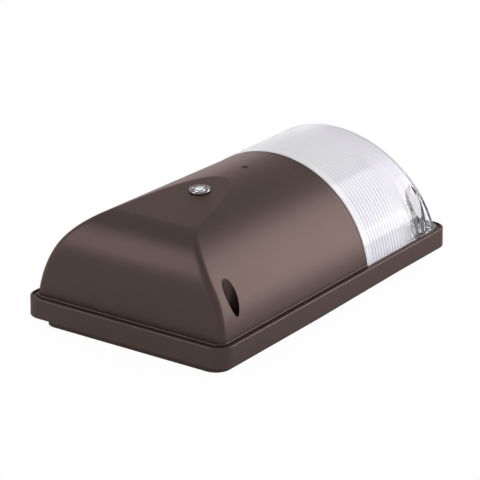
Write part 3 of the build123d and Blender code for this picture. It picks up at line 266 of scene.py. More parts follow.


def clear_polycarbonate():
    """Injection-moulded polycarbonate, water-clear with a trace of haze.

    The crests of the prism ribs get painted highlight lines in the base colour, with painted shade between
    the ribs, where light gathers in the real lens; the lines fade towards the smooth far end and over the
    top. The arch is faintly frosted up high, while the end wall and the foot are clear enough to show the
    lamps and the screws.
    """
    finish = settings("finishes")
    ribs = settings("ribs")
    material, tree, shader, place = start_material(
        "clear_polycarbonate", finish.lens, roughness=0.1, IOR=1.585, Transmission_Weight=finish.clearness,
        Specular_Tint=(*shade((1.0, 1.0, 1.0), finish.lens_sheen), 1.0))
    axes = add(tree, "SeparateXYZ", {0: place}).outputs
    turns = add(tree, "Math", {0: axes["Y"], 1: 1 / ribs.pitch, 2: ribs.start / ribs.pitch + 0.5},
                operation="MULTIPLY_ADD")
    crest = add(tree, "Math", {0: turns.outputs[0], 1: 0.5}, operation="PINGPONG")
    facing = add(tree, "SeparateXYZ", {0: place.node.outputs["Normal"]}).outputs["Y"]
    facing = add(tree, "Math", {0: facing}, operation="ABSOLUTE")
    # Each row is a share that goes from first to last while its value goes from low to high.
    # line marks the painted highlight at each rib crest; upright sets how strongly the painted rib lines
    # show.
    rows = (("line", crest.outputs[0], 0.22, 0.32, 0.0, 1.0),
            ("ribbed", axes["Y"], -ribs.end, -ribs.end + RIBS_FADE, 0.0, 1.0),
            ("seam", axes["Y"], -ribs.start, -ribs.start + SEAM_BLEND, 0.0, 1.0),
            ("upright", axes["Z"], 52 * MM, 68 * MM, 1.0, ribs.over_top),
            ("clearness", axes["Z"], 34 * MM, 62 * MM, finish.clearness_low, finish.clearness),
            ("frost", axes["Z"], 64 * MM, 73 * MM, 0.1, 0.42),
            ("above_pockets", axes["Z"], 38 * MM, 54 * MM, 0.0, 1.0),
            ("arch", facing.outputs[0], 0.35, 0.6, 1.0, 0.0))
    part = {name: add(tree, "MapRange", {"Value": value, "From Min": low, "From Max": high, "To Min": first,
                                         "To Max": last}).outputs["Result"]
            for name, value, low, high, first, last in rows}
    strength = add(tree, "Math", {0: part["ribbed"], 1: part["upright"]}, operation="MULTIPLY")
    shown = add(tree, "Math", {0: part["line"], 1: 1.0}, operation="SUBTRACT")
    shown = add(tree, "Math", {0: shown.outputs[0], 1: strength.outputs[0], 2: 1.0}, operation="MULTIPLY_ADD")
    # The seam share paints a highlight along the lens's thick edge at the seam.
    shown = add(tree, "Math", {0: part["seam"], 1: 0.5, 2: shown.outputs[0]}, operation="MULTIPLY_ADD",
                use_clamp=True)
    raised = add(tree, "Math", {0: part["above_pockets"], 1: part["arch"]}, operation="MULTIPLY").outputs[0]
    lens, rib_shade, end = ((*tone, 1.0) for tone in (finish.lens, finish.lens_gap, finish.lens_end))
    # Painted highlight lines at the rib crests in the lens colour, with painted shade between them.
    lines = add(tree, "Mix", {0: shown.outputs[0], 6: rib_shade, 7: lens}, data_type="RGBA")
    smooth = add(tree, "Mix", {0: raised, 6: lens, 7: end}, data_type="RGBA")
    tone = add(tree, "Mix", {0: part["ribbed"], 6: smooth.outputs[2], 7: lines.outputs[2]}, data_type="RGBA")
    tree.links.new(tone.outputs[2], shader.inputs["Base Color"])
    clear = add(tree, "Mix", {0: raised, 2: finish.clearness_foot, 3: finish.clearness_end})
    clear = add(tree, "Mix", {0: part["ribbed"], 2: clear.outputs[0], 3: part["clearness"]})
    tree.links.new(clear.outputs[0], shader.inputs["Transmission Weight"])
    gloss = add(tree, "Mix", {0: raised, 2: 0.02, 3: 0.3})
    gloss = add(tree, "Mix", {0: part["ribbed"], 2: gloss.outputs[0], 3: part["frost"]})
    tree.links.new(gloss.outputs[0], shader.inputs["Roughness"])
    flow = add(tree, "TexNoise", {"Vector": place, "Scale": feature(9), "Detail": 2.0})
    emboss(tree, shader, flow.outputs["Fac"], 0.03, 0.5)
    return material


def chrome_plate():
    """Bright chrome over moulded plastic: a clean mirror with faint polishing haze."""
    material, tree, shader, place = start_material("chrome_plate", settings("finishes").chrome, 1.0, 0.06)
    haze = add(tree, "TexNoise", {"Vector": place, "Scale": feature(2.5), "Detail": 3.0})
    vary_roughness(tree, shader, haze.outputs["Fac"], 0.04, 0.1)
    return material


def clear_acrylic():
    """Small moulded acrylic window: glass-clear and glossy."""
    material, tree, shader, place = start_material(
        "clear_acrylic", settings("finishes").window, roughness=0.03, IOR=1.49, Transmission_Weight=1.0)
    ripple = add(tree, "TexNoise", {"Vector": place, "Scale": feature(3), "Detail": 1.0})
    emboss(tree, shader, ripple.outputs["Fac"], 0.01, 0.4)
    return material


def sensor_ceramic():
    """Fired ceramic base of the light-sensitive cell: chalky and faintly mottled."""
    base = linear("#D8D4CB")
    material, tree, shader, place = start_material("sensor_ceramic", base, roughness=0.55)
    mottle = add(tree, "TexNoise", {"Vector": place, "Scale": feature(0.5), "Detail": 3.0})
    vary_colour(tree, shader, mottle.outputs["Fac"], shade(base, 0.85), shade(base, 1.1))
    emboss(tree, shader, mottle.outputs["Fac"], 0.01, 0.4)
    return material


def sensor_track():
    """Dark cadmium sulphide film on the cell: smooth with a reddish tone."""
    base = linear("#5B1F12")
    material, tree, shader, place = start_material("sensor_track", base, roughness=0.3)
    film = add(tree, "TexNoise", {"Vector": place, "Scale": feature(0.3), "Detail": 2.0})
    vary_roughness(tree, shader, film.outputs["Fac"], 0.22, 0.4)
    return material


def zinc_plated_steel():
    """Cold-headed steel under bright zinc: grey, slightly uneven in gloss, with fine forming marks."""
    base = settings("finishes").zinc
    material, tree, shader, place = start_material("zinc_plated_steel", base, 1.0, 0.26)
    bloom = add(tree, "TexNoise", {"Vector": place, "Scale": feature(1.6), "Detail": 4.0})
    marks = add(tree, "TexNoise", {"Vector": place, "Scale": feature(0.18), "Detail": 2.0})
    vary_colour(tree, shader, bloom.outputs["Fac"], shade(base, 0.86), shade(base, 1.06))
    vary_roughness(tree, shader, bloom.outputs["Fac"], 0.18, 0.36)
    emboss(tree, shader, marks.outputs["Fac"], 0.006, 0.5)
    return material


def neoprene_foam():
    """Closed-cell neoprene foam: matt black with an open-looking cell pattern on its cut faces."""
    base = settings("finishes").foam
    material, tree, shader, place = start_material("neoprene_foam", base, roughness=0.86)
    cells = add(tree, "TexVoronoi", {"Vector": place, "Scale": feature(0.7)}, feature="SMOOTH_F1")
    vary_colour(tree, shader, cells.outputs["Distance"], shade(base, 0.6), shade(base, 1.7))
    emboss(tree, shader, cells.outputs["Distance"], 0.16, 0.8)
    return material


def silicone_rubber():
    """Moulded silicone: milky, soft sheen, dusted with a fine bloom."""
    base = settings("finishes").silicone
    material, tree, shader, place = start_material(
        "silicone_rubber", base, roughness=0.5, Subsurface_Weight=0.15, Subsurface_Scale=0.002)
    dust = add(tree, "TexNoise", {"Vector": place, "Scale": feature(1.4), "Detail": 4.0})
    vary_colour(tree, shader, dust.outputs["Fac"], shade(base, 0.9), shade(base, 1.05))
    vary_roughness(tree, shader, dust.outputs["Fac"], 0.42, 0.62)
    emboss(tree, shader, dust.outputs["Fac"], 0.01, 0.4)
    return material


def moulded_plastic(name, base, grain_mm=0.35, low=0.38, high=0.52):
    """Injection-moulded engineering plastic: even colour and a fine spark-eroded mould grain."""
    material, tree, shader, place = start_material(name, base, roughness=(low + high) / 2)
    grain = add(tree, "TexNoise", {"Vector": place, "Scale": feature(grain_mm), "Detail": 3.0})
    flow = add(tree, "TexNoise", {"Vector": place, "Scale": feature(14), "Detail": 2.0})
    vary_colour(tree, shader, flow.outputs["Fac"], shade(base, 0.94), shade(base, 1.05))
    vary_roughness(tree, shader, grain.outputs["Fac"], low, high)
    emboss(tree, shader, grain.outputs["Fac"], 0.014, 0.5)
    return material


def glass_fibre_laminate():
    """Glass-fibre laminate under green lacquer: the weave shows faintly through a glossy coat."""
    base = settings("finishes").laminate
    material, tree, shader, place = start_material("glass_fibre_laminate", base, roughness=0.3)
    weave = add(tree, "TexBrick", {"Vector": place, "Scale": feature(1.0), "Color1": (*base, 1.0),
                                   "Color2": (*shade(base, 1.2), 1.0), "Mortar": (*shade(base, 0.8), 1.0)})
    tree.links.new(weave.outputs["Color"], shader.inputs["Base Color"])
    return material


def white_solder_resist():
    """White solder resist on an aluminium lamp board: glossy, with copper lands showing as faint steps."""
    base = settings("finishes").resist
    material, tree, shader, place = start_material("white_solder_resist", base, roughness=0.28)
    lands = add(tree, "TexBrick", {"Vector": place, "Scale": feature(7.4), "Mortar Size": 0.04,
                                   "Color1": (*base, 1.0), "Color2": (*shade(base, 0.98), 1.0),
                                   "Mortar": (*shade(base, 0.86), 1.0)})
    tree.links.new(lands.outputs["Color"], shader.inputs["Base Color"])
    emboss(tree, shader, lands.outputs["Fac"], 0.035, 0.5)
    return material


def phosphor_resin():
    """Silicone resin loaded with yellow phosphor: waxy, faintly grainy and slightly domed."""
    base = settings("finishes").phosphor
    material, tree, shader, place = start_material(
        "phosphor_resin", base, roughness=0.25, Subsurface_Weight=0.2, Subsurface_Scale=0.0006)
    grain = add(tree, "TexNoise", {"Vector": place, "Scale": feature(0.12), "Detail": 2.0})
    vary_colour(tree, shader, grain.outputs["Fac"], shade(base, 0.9), shade(base, 1.08))
    return material


def rolled_aluminium():
    """Mill-finish aluminium sheet: soft grey with fine rolling lines along the sheet."""
    base = settings("finishes").aluminium
    material, tree, shader, place = start_material("rolled_aluminium", base, 1.0, 0.34)
    stretch = add(tree, "Mapping", {"Vector": place, "Scale": (1.0, 0.04, 1.0)})
    lines = add(tree, "TexNoise", {"Vector": stretch.outputs["Vector"], "Scale": feature(0.3), "Detail": 4.0})
    vary_colour(tree, shader, lines.outputs["Fac"], shade(base, 0.84), shade(base, 1.06))
    vary_roughness(tree, shader, lines.outputs["Fac"], 0.26, 0.44)
    emboss(tree, shader, lines.outputs["Fac"], 0.006, 0.5)
    return material


def baked_enamel():
    """White baked enamel on thin steel: bright, even, with the least ripple."""
    base = settings("finishes").enamel
    material, tree, shader, place = start_material("baked_enamel", base, roughness=0.3)
    ripple = add(tree, "TexNoise", {"Vector": place, "Scale": feature(3.5), "Detail": 2.0})
    vary_colour(tree, shader, ripple.outputs["Fac"], shade(base, 0.97), base)
    vary_roughness(tree, shader, ripple.outputs["Fac"], 0.25, 0.36)
    emboss(tree, shader, ripple.outputs["Fac"], 0.02, 0.4)
    return material


def pvc_insulation(name, base):
    """Extruded PVC: softly glossy, with faint draw lines."""
    material, tree, shader, place = start_material(name, base, roughness=0.36)
    draw = add(tree, "TexNoise", {"Vector": place, "Scale": feature(1.2), "Detail": 3.0})
    vary_colour(tree, shader, draw.outputs["Fac"], shade(base, 0.85), shade(base, 1.12))
    vary_roughness(tree, shader, draw.outputs["Fac"], 0.3, 0.46)
    emboss(tree, shader, draw.outputs["Fac"], 0.02, 0.4)
    return material


def tinned_copper():
    """Stamped copper under electroplated tin: soft, warm grey."""
    base = settings("finishes").tin
    material, tree, shader, place = start_material("tinned_copper", base, 1.0, 0.36)
    bloom = add(tree, "TexNoise", {"Vector": place, "Scale": feature(1.0), "Detail": 4.0})
    vary_colour(tree, shader, bloom.outputs["Fac"], shade(base, 0.85), shade(base, 1.05))
    vary_roughness(tree, shader, bloom.outputs["Fac"], 0.28, 0.46)
    return material


def green_dyed_steel():
    """Ground screw in green dyed lacquer over steel: glossy, thin on its edges."""
    base = settings("finishes").green
    material, tree, shader, place = start_material("green_dyed_steel", base, 0.6, 0.3)
    bloom = add(tree, "TexNoise", {"Vector": place, "Scale": feature(0.9), "Detail": 3.0})
    vary_colour(tree, shader, bloom.outputs["Fac"], shade(base, 0.7), shade(base, 1.3))
    vary_roughness(tree, shader, bloom.outputs["Fac"], 0.22, 0.4)
    return material


def black_nylon():
    return moulded_plastic("black_nylon", settings("finishes").black_nylon, 0.3, 0.4, 0.58)


def white_nylon():
    return moulded_plastic("white_nylon", settings("finishes").white_nylon, 0.3, 0.34, 0.48)


def driver_abs():
    return moulded_plastic("driver_abs", settings("finishes").driver, 0.5, 0.42, 0.6)


def cap_polypropylene():
    return moulded_plastic("cap_polypropylene", settings("finishes").caps, 0.4, 0.32, 0.46)


def black_pvc():
    return pvc_insulation("black_pvc", settings("finishes").black_nylon)


def white_pvc():
    return pvc_insulation("white_pvc", settings("finishes").white_nylon)


def green_pvc():
    return pvc_insulation("green_pvc", settings("finishes").green)


def red_pvc():
    return pvc_insulation("red_pvc", settings("finishes").red)


def finish_of(make):
    """The material that a function makes, made once."""
    return bpy.data.materials.get(make.__name__) or make()


def dress(node, make):
    """Gives a carried-over node its finish."""
    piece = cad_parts[node]
    piece.data.materials.clear()
    piece.data.materials.append(finish_of(make))


# ---------------------------------------------------------------- mesh helpers
SHARP = 35.0  # degrees between two faces from which their edge is shown sharp
DOUBLES = 0.001 * MM  # distance up to which two vertices are one
ON_AXIS = 1e-7  # radius in metres under which a profile point lies on the axis


def new_piece(name, mesh, make, body, slot, *nodes):
    """Object for a finished mesh, in its material, riding on its body in place of the nodes."""
    piece = bpy.data.objects.new(name, mesh)
    bpy.context.scene.collection.objects.link(piece)
    mesh.materials.clear()
    mesh.materials.append(finish_of(make))
    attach(piece, body)
    if nodes:
        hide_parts(*nodes)
    return piece


def mesh_from(name, points, faces, smooth_angle=SHARP):
    mesh = bpy.data.meshes.new(name)
    mesh.from_pydata([tuple(p) for p in points], [], faces)
    tidy_mesh(mesh, smooth_angle)
    return mesh


def tidy_mesh(mesh, smooth_angle=SHARP):
    """Merges doubles, faces everything outward and shades it smooth between sharp edges."""
    work = bmesh.new()
    work.from_mesh(mesh)
    bmesh.ops.remove_doubles(work, verts=work.verts, dist=DOUBLES)
    bmesh.ops.recalc_face_normals(work, faces=work.faces)
    work.to_mesh(mesh)
    work.free()
    mesh.shade_smooth()
    mesh.set_sharp_from_angle(angle=radians(smooth_angle))


def in_mm(points):
    """Profile points given in millimetres, in metres."""
    return [(radius * MM, z * MM) for radius, z in points]


def turned(name, profile, steps, radius_at=None, smooth_angle=SHARP):
    """Closed body of revolution about Z from (radius, z) points that start and end on the axis.

    radius_at may change a radius with its angle, as flutes do.
    """
    points, rings = [], []
    for radius, z in profile:
        if radius < ON_AXIS:
            rings.append([len(points)] * steps)
            points.append((0.0, 0.0, z))
            continue
        rings.append(list(range(len(points), len(points) + steps)))
        for step in range(steps):
            angle = 2 * pi * step / steps
            local = radius_at(radius, z, angle) if radius_at else radius
            points.append((local * cos(angle), local * sin(angle), z))
    faces = []
    for low, high in zip(rings, rings[1:]):
        for step in range(steps):
            after = (step + 1) % steps
            corners = [low[step], low[after], high[after], high[step]]
            unique = list(dict.fromkeys(corners))
            if len(unique) > 2:
                faces.append(unique)
    return mesh_from(name, points, faces, smooth_angle)


def ring_of(name, profile, steps):
    """Closed ring of revolution about Z from a closed loop of (radius, z) points."""
    points = []
    for radius, z in profile:
        angles = [2 * pi * s / steps for s in range(steps)]
        points += [(radius * cos(angle), radius * sin(angle), z) for angle in angles]
    count = len(profile)
    faces = [(row * steps + s, row * steps + (s + 1) % steps,
              ((row + 1) % count) * steps + (s + 1) % steps, ((row + 1) % count) * steps + s)
             for row in range(count) for s in range(steps)]
    return mesh_from(name, points, faces, 40)


def cut(name, first, *others, operation="DIFFERENCE", smooth_angle=SHARP):
    """Mesh of one body cut by, or joined to, others."""
    body = bpy.data.objects.new(name, first)
    bpy.context.scene.collection.objects.link(body)
    tools = []
    for other in others:
        tool = bpy.data.objects.new(name + "_tool", other)
        bpy.context.scene.collection.objects.link(tool)
        tools.append(tool)
        step = body.modifiers.new("cut", "BOOLEAN")
        step.operation = operation
        step.solver = "EXACT"
        step.object = tool
    graph = bpy.context.evaluated_depsgraph_get()
    result = bpy.data.meshes.new_from_object(body.evaluated_get(graph))
    for spare in [body, *tools]:
        bpy.data.objects.remove(spare)
    tidy_mesh(result, smooth_angle)
    result.name = name
    return result


def bar(name, low, high, turn=0.0, narrowing=1.0):
    """Upright block between two corners, turned about Z, its bottom narrowed towards its middle."""
    middle = ((low[0] + high[0]) / 2, (low[1] + high[1]) / 2)
    points = []
    for z, scale in ((low[2], narrowing), (high[2], 1.0)):
        for x, y in ((low[0], low[1]), (high[0], low[1]), (high[0], high[1]), (low[0], high[1])):
            points.append((middle[0] + (x - middle[0]) * scale, middle[1] + (y - middle[1]) * scale, z))
    mesh = mesh_from(name, points, [(3, 2, 1, 0), (4, 5, 6, 7), (0, 1, 5, 4), (1, 2, 6, 5), (2, 3, 7, 6),
                                    (3, 0, 4, 7)])
    mesh.transform(Matrix.Rotation(turn, 4, "Z"))
    return mesh


def along(axis, origin, mesh):
    """Moves a mesh made along Z so that it stands at origin and points along axis."""
    turn = Vector(axis).normalized().to_track_quat("Z", "Y").to_matrix().to_4x4()
    mesh.transform(Matrix.Translation(origin) @ turn)
    return mesh


# ---------------------------------------------------------------- cover screws
HEAD_SEAT = 2.5 * MM  # bearing face of a screw's head over the foot of the cover
SHANK_RADIUS = 2.0 * MM
SHANK_IN_HEAD = 0.3 * MM  # overlap that joins shank and head
RECESS_TAPER = 0.62  # width of the cross recess at its floor against its mouth


def threaded_shank(name, radius, low, high, pitch, depth):
    """Shank whose surface is one helical ridge, pointed at its lower end."""
    steps, rows_per_turn = 40, 10
    rows = round((high - low) / pitch * rows_per_turn)
    tip, thinning = 2.2 * pitch, 0.9 * depth

    def ridge(turns):
        place = turns - floor(turns)
        return 1 - abs(2 * place - 1)

    def surface(base, z, angle):
        fade = min(1.0, (z - low) / tip, (high - z) / pitch)
        return base - depth + depth * fade * ridge((z - low) / pitch - angle / (2 * pi))

    profile = [(0.0, low)]
    for row in range(rows + 1):
        z = low + (high - low) * row / rows
        taper = min(1.0, (z - low) / tip)
        profile.append((radius - thinning * (1 - taper), z))
    profile.append((0.0, high))
    return turned(name, profile, steps, surface, smooth_angle=60)


def screw_head(name, radius, low, high, rounding, steps=64):
    """Pan head: flat bearing face, short upright side and a domed top."""
    side = high - rounding
    edge, flatness = 0.15 * MM, 1.6
    crown = [(radius - rounding * (1 - cos(a)) * flatness, side + rounding * sin(a))
             for a in (radians(18 * k) for k in range(1, 6))]
    profile = [(0.0, low), (radius - edge, low), (radius, low + edge), (radius, side)]
    return turned(name, profile + crown + [(0.0, high)], steps, smooth_angle=50)


class WALLPACK_OT_cover_screws(bpy.types.Operator):
    """Four cross-head cover screws with cut threads, each on its own body"""
    bl_idname = "wallpack.cover_screws"
    bl_label = "Cover screws"

    def execute(self, context):
        sizes = settings("screws")
        for place in (1, 2, 3, 4):
            node = f"cover_screw_{place}"
            low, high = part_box(node)
            middle = (low + high) / 2
            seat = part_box("front_cover")[0].z + HEAD_SEAT
            head = screw_head("head", (high.x - low.x) / 2, seat, high.z, sizes.turn)
            half, wing = sizes.recess / 2, sizes.wing / 2
            floor_z = high.z - sizes.recess_depth
            arms = [bar("arm", (-half, -wing, floor_z), (half, wing, high.z + MM), radians(turn),
                        RECESS_TAPER)
                    for turn in (0, 90)]
            head = cut("head", head, *arms)
            shank = threaded_shank("shank", SHANK_RADIUS, low.z, seat + SHANK_IN_HEAD, sizes.pitch,
                                   sizes.depth)
            screw = cut(node + "_threaded", head, shank, operation="UNION", smooth_angle=50)
            screw.transform(Matrix.Translation((middle.x, middle.y, 0)))
            new_piece(node + "_threaded", screw, zinc_plated_steel, node, "zinc_steel", node)
        return {"FINISHED"}


# ---------------------------------------------------------------- sensor
SCOOP_SLOPE = 0.0885  # fall of the scoop towards +Y where the sensor sits
SENSOR_AXIS = Vector((0.0, SCOOP_SLOPE, 1.0)).normalized()
BEZEL_HALF = 0.65 * MM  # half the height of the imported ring
RING_OUTER, RING_INNER = 6.2, 4.5  # radii in millimetres
CELL_RIM = 0.5  # width of the can's rim round the cell, in millimetres
RUN_REACH = 0.9  # length of the track's runs against the room that they have


class WALLPACK_OT_sensor(bpy.types.Operator):
    """Chrome ring, clear window and the light-sensitive cell under it"""
    bl_idname = "wallpack.sensor"
    bl_label = "Sensor"

    def execute(self, context):
        sizes = settings("sensor")
        low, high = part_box("photocell_bezel")
        foot = (low + high) / 2 - SENSOR_AXIS * BEZEL_HALF
        outer, inner, cell, dome = RING_OUTER, RING_INNER, sizes.cell / MM, sizes.dome / MM
        ring = [(inner, 0.02), (outer - 0.25, 0.0), (outer, 0.2), (outer - 0.05, 0.55), (outer - 0.4, 1.0),
                (outer - 0.75, 1.15), (outer - 1.0, 1.1), (inner + 0.1, 0.62), (inner, 0.5)]
        edge, recess = inner - 0.05, cell + 0.15
        window = [(0.0, 0.46), (recess, 0.46), (recess, 0.14), (edge, 0.14)]
        ball = (inner ** 2 + dome ** 2) / (2 * dome)
        rows = 12
        for k in range(rows):
            radius = edge * (1 - k / rows)
            rise = sqrt(ball ** 2 - radius ** 2) - (ball - dome)
            window.append((radius, max(0.52, rise + 0.02)))
        window.append((0.0, dome + 0.02))
        well = [(cell + 0.05, 0.01), (edge, 0.01), (edge, 0.12), (cell + 0.05, 0.12)]
        can = [(0.0, 0.01), (cell, 0.01), (cell, 0.3), (cell - 0.12, 0.4), (cell - 0.4, 0.4),
               (cell - 0.45, 0.36), (0.0, 0.36)]
        disc = [(0.0, 0.362), (cell - CELL_RIM, 0.362), (cell - CELL_RIM, 0.4), (0.0, 0.4)]
        pieces = (("ring", ring_of("ring", in_mm(ring), 128), chrome_plate, "chrome_bezel",
                   "photocell_bezel"),
                  ("window", turned("window", in_mm(window), 96), clear_acrylic, "sensor_window",
                   "photocell_lens"),
                  ("well", ring_of("well", in_mm(well), 96), black_nylon, "black_nylon"),
                  ("can", turned("can", in_mm(can), 64), chrome_plate, "chrome_bezel"),
                  ("cell", turned("disc", in_mm(disc), 64), sensor_ceramic, "sensor_window"),
                  ("track", self.meander(sizes), sensor_track, "sensor_window"))
        for name, mesh, make, slot, *nodes in pieces:
            new_piece("photocell_" + name, along(SENSOR_AXIS, foot, mesh), make, "front", slot, *nodes)
        return {"FINISHED"}

    def meander(self, sizes):
        """Flat track that runs to and fro over the cell."""
        reach_all = (sizes.cell - CELL_RIM * MM) * 0.92
        span = reach_all * 0.78
        pitch = 2 * span / (sizes.tracks - 1)
        low, high = 0.39 * MM, 0.42 * MM
        half = sizes.track / 2
        pieces = []
        for run in range(sizes.tracks):
            y = -span + run * pitch
            reach = sqrt(max(0.0, reach_all ** 2 - y ** 2)) * RUN_REACH
            pieces.append(bar("run", (-reach, y - half, low), (reach, y + half, high)))
            if run + 1 < sizes.tracks:
                side = 1 if run % 2 else -1
                after = sqrt(max(0.0, reach_all ** 2 - (y + pitch) ** 2)) * RUN_REACH
                end = side * (min(reach, after) - half)
                pieces.append(bar("link", (end - half, y, low), (end + half, y + pitch, high)))
        return cut("meander", pieces[0], *pieces[1:], operation="UNION")


# ---------------------------------------------------------------- wire caps and connector
CAP_TIP = 3.2 * MM  # radius of a cap's closed end
FLUTES_FROM, FLUTES_TO = 2.9 * MM, 14.3 * MM  # from the cap's mouth
CAP_PLACES = {"line": 20.5 * MM, "neutral": 33.0 * MM, "ground": -20.5 * MM}  # X of each cap
WAY_OFFSET = 1.3 * MM  # of each of the connector's two ways from its middle
WAY_DEPTH = 1.9 * MM  # of the wire funnels
SLOT_WIDTH, SLOT_DEPTH = 1.0 * MM, 0.6 * MM  # of the release slots


class WALLPACK_OT_wire_caps(bpy.types.Operator):
    """Twist-on caps with grip flutes and an open mouth round each wire"""
    bl_idname = "wallpack.wire_caps"
    bl_label = "Wire caps"

    def execute(self, context):
        sizes = settings("caps")
        low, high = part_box("wire_caps")
        radius, reach = (high.z - low.z) / 2, high.y - low.y
        level = (low.z + high.z) / 2

        def taper(y):
            return radius + (CAP_TIP - radius) * y / reach

        profile = [(0.0, sizes.mouth), (taper(0) - 2.2 * sizes.wall, sizes.mouth),
                   (taper(0) - sizes.wall, 0.3 * MM), (taper(0) - sizes.wall + 0.3 * MM, 0.0),
                   (taper(0) - 0.4 * MM, 0.0), (taper(0) - 0.05 * MM, 0.5 * MM)]
        profile += [(taper(y * MM), y * MM) for y in (2.6, 3.0, 4.0, 6.0, 8.0, 10.0, 12.0, 13.6, 14.2)]
        profile += [(taper(15.4 * MM) - 0.1 * MM, 15.4 * MM), (CAP_TIP - 0.8 * MM, reach - 0.5 * MM),
                    (CAP_TIP - 2.0 * MM, reach - 0.08 * MM), (0.0, reach)]

        def fluted(base, y, angle):
            if y < FLUTES_FROM or y > FLUTES_TO or base < taper(y) - 0.3 * MM:
                return base
            return base - sizes.flute_depth * (0.5 + 0.5 * cos(sizes.flutes * angle)) ** 2

        work = bmesh.new()
        for x in CAP_PLACES.values():
            cap = along((0, -1, 0), (x, high.y, level), turned("cap", profile, 192, fluted))
            work.from_mesh(cap)
        mesh = bpy.data.meshes.new("wire_caps_fluted")
        work.to_mesh(mesh)
        work.free()
        mesh.shade_smooth()
        mesh.set_sharp_from_angle(angle=radians(SHARP))
        new_piece("wire_caps_fluted", mesh, cap_polypropylene, "base", "cap_plastic", "wire_caps")
        return {"FINISHED"}


class WALLPACK_OT_connector(bpy.types.Operator):
    """Two-way push-in connector on the lamp board, with wire funnels and release slots"""
    bl_idname = "wallpack.connector"
    bl_label = "Connector"

    def execute(self, context):
        low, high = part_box("led_connector")
        size = high - low
        body = bar("connector", tuple(low), tuple(high))
        tools = []
        for side in (-1, 1):
            x = (low.x + high.x) / 2 + side * WAY_OFFSET
            funnel = [(0.0, 0.0), (0.75, 0.0), (0.8, 1.2), (1.05, 2.0), (1.05, 3.0), (0.0, 3.0)]
            tools.append(along((0, 1, 0), (x, high.y - WAY_DEPTH, low.z + size.z / 2),
                               turned("funnel", in_mm(funnel), 32)))
            slot_low = (x - SLOT_WIDTH / 2, low.y + 0.8 * MM, high.z - SLOT_DEPTH)
            slot_high = (x + SLOT_WIDTH / 2, low.y + 2.2 * MM, high.z + MM)
            tools.append(bar("slot", slot_low, slot_high))
        body = cut("connector", body, *tools)
        piece = new_piece("led_connector_body", body, white_nylon, "base", "white_nylon", "led_connector")
        edge = piece.modifiers.new("edges", "BEVEL")
        edge.width = 0.18 * MM
        edge.segments = 2
        edge.limit_method = "ANGLE"
        return {"FINISHED"}


# ---------------------------------------------------------------- finishes of the carried-over nodes
class WALLPACK_OT_castings(bpy.types.Operator):
    """Powder-coated back housing and front cover"""
    bl_idname = "wallpack.castings"
    bl_label = "Castings"

    def execute(self, context):
        for node in ("back_housing", "front_cover"):
            dress(node, bronze_powder_coat)
        return {"FINISHED"}


class WALLPACK_OT_lens(bpy.types.Operator):
    """Clear ribbed lens"""
    bl_idname = "wallpack.lens"
    bl_label = "Lens"

    def execute(self, context):
        dress("lens", clear_polycarbonate)
        return {"FINISHED"}


class WALLPACK_OT_seals(bpy.types.Operator):
    """Gaskets, seal, grommet and bushing"""
    bl_idname = "wallpack.seals"
    bl_label = "Seals"

    def execute(self, context):
        for node in ("wall_gasket", "photocell_seal", "wire_grommet"):
            dress(node, neoprene_foam)
        for node in ("cover_gasket", "seam_gasket"):
            dress(node, silicone_rubber)
        for node in ("entry_bushing", "photocell_nut", "photocell_housing", "screw_washers"):
            dress(node, black_nylon)
        return {"FINISHED"}


class WALLPACK_OT_fasteners(bpy.types.Operator):
    """Small screws, the lens retainer, the ground screw and its terminal"""
    bl_idname = "wallpack.fasteners"
    bl_label = "Fasteners"

    def execute(self, context):
        for node in ("lens_retainer", "retainer_screws", "driver_screws", "bracket_screws", "tray_screws",
                     "led_board_screws"):
            dress(node, zinc_plated_steel)
        dress("ground_screw", green_dyed_steel)
        dress("ground_terminal", tinned_copper)
        return {"FINISHED"}


class WALLPACK_OT_lamp(bpy.types.Operator):
    """Lamp bracket, reflector tray, lamp board and lamps"""
    bl_idname = "wallpack.lamp"
    bl_label = "Lamp"

    def execute(self, context):
        dress("led_bracket", rolled_aluminium)
        dress("reflector_tray", baked_enamel)
        dress("led_board", white_solder_resist)
        dress("led_packages", white_nylon)
        dress("led_phosphors", phosphor_resin)
        return {"FINISHED"}


class WALLPACK_OT_driver(bpy.types.Operator):
    """Driver case, lid, board and parts, and the sensor's plug and socket"""
    bl_idname = "wallpack.driver"
    bl_label = "Driver"

    def execute(self, context):
        for node in ("driver_case", "driver_lid"):
            dress(node, driver_abs)
        dress("driver_board", glass_fibre_laminate)
        dress("driver_components", black_nylon)
        for node in ("sensor_plug", "sensor_socket"):
            dress(node, white_nylon)
        return {"FINISHED"}


class WALLPACK_OT_wiring(bpy.types.Operator):
    """Supply, ground, lamp and sensor wires"""
    bl_idname = "wallpack.wiring"
    bl_label = "Wiring"

    def execute(self, context):
        for node in ("line_wire", "led_wire_negative", "photocell_lead_black"):
            dress(node, black_pvc)
        for node in ("neutral_wire", "photocell_lead_white"):
            dress(node, white_pvc)
        dress("ground_wire", green_pvc)
        dress("led_wire_positive", red_pvc)
        return {"FINISHED"}


# ---------------------------------------------------------------- stage
CAMERA_TARGET = Vector((37.71 * MM, -50.02 * MM, 6.3 * MM))
CAMERA_BACK = Vector((-0.5377, 0.7628, 0.3592)).normalized()
CAMERA_DISTANCE = 1595.3 * MM
CAMERA_LENS = 195.0
CAMERA_SENSOR = 36.0
CLIP_START, CLIP_END = 0.05, 20.0
FLOOR_HALF = 3.0
FLOOR_DROP = 0.02 * MM  # of the floor under the wall gasket
DIM_FROM, DIM_TO = 10, 28  # elevations in degrees between which the mirrored world dims
# azimuth and elevation in degrees; distance, width and height in metres
SOFTBOXES = {
    "side": (325, 24, 0.9, 0.55, 0.56),
    "top": (146, 31, 0.8, 0.45, 0.6),
    "back": (42, 7, 1.1, 0.9, 0.22),
    "low": (304, 4.5, 0.55, 0.4, 0.08),
    "fill": (215, 48, 1.5, 1.1, 1.1),
}


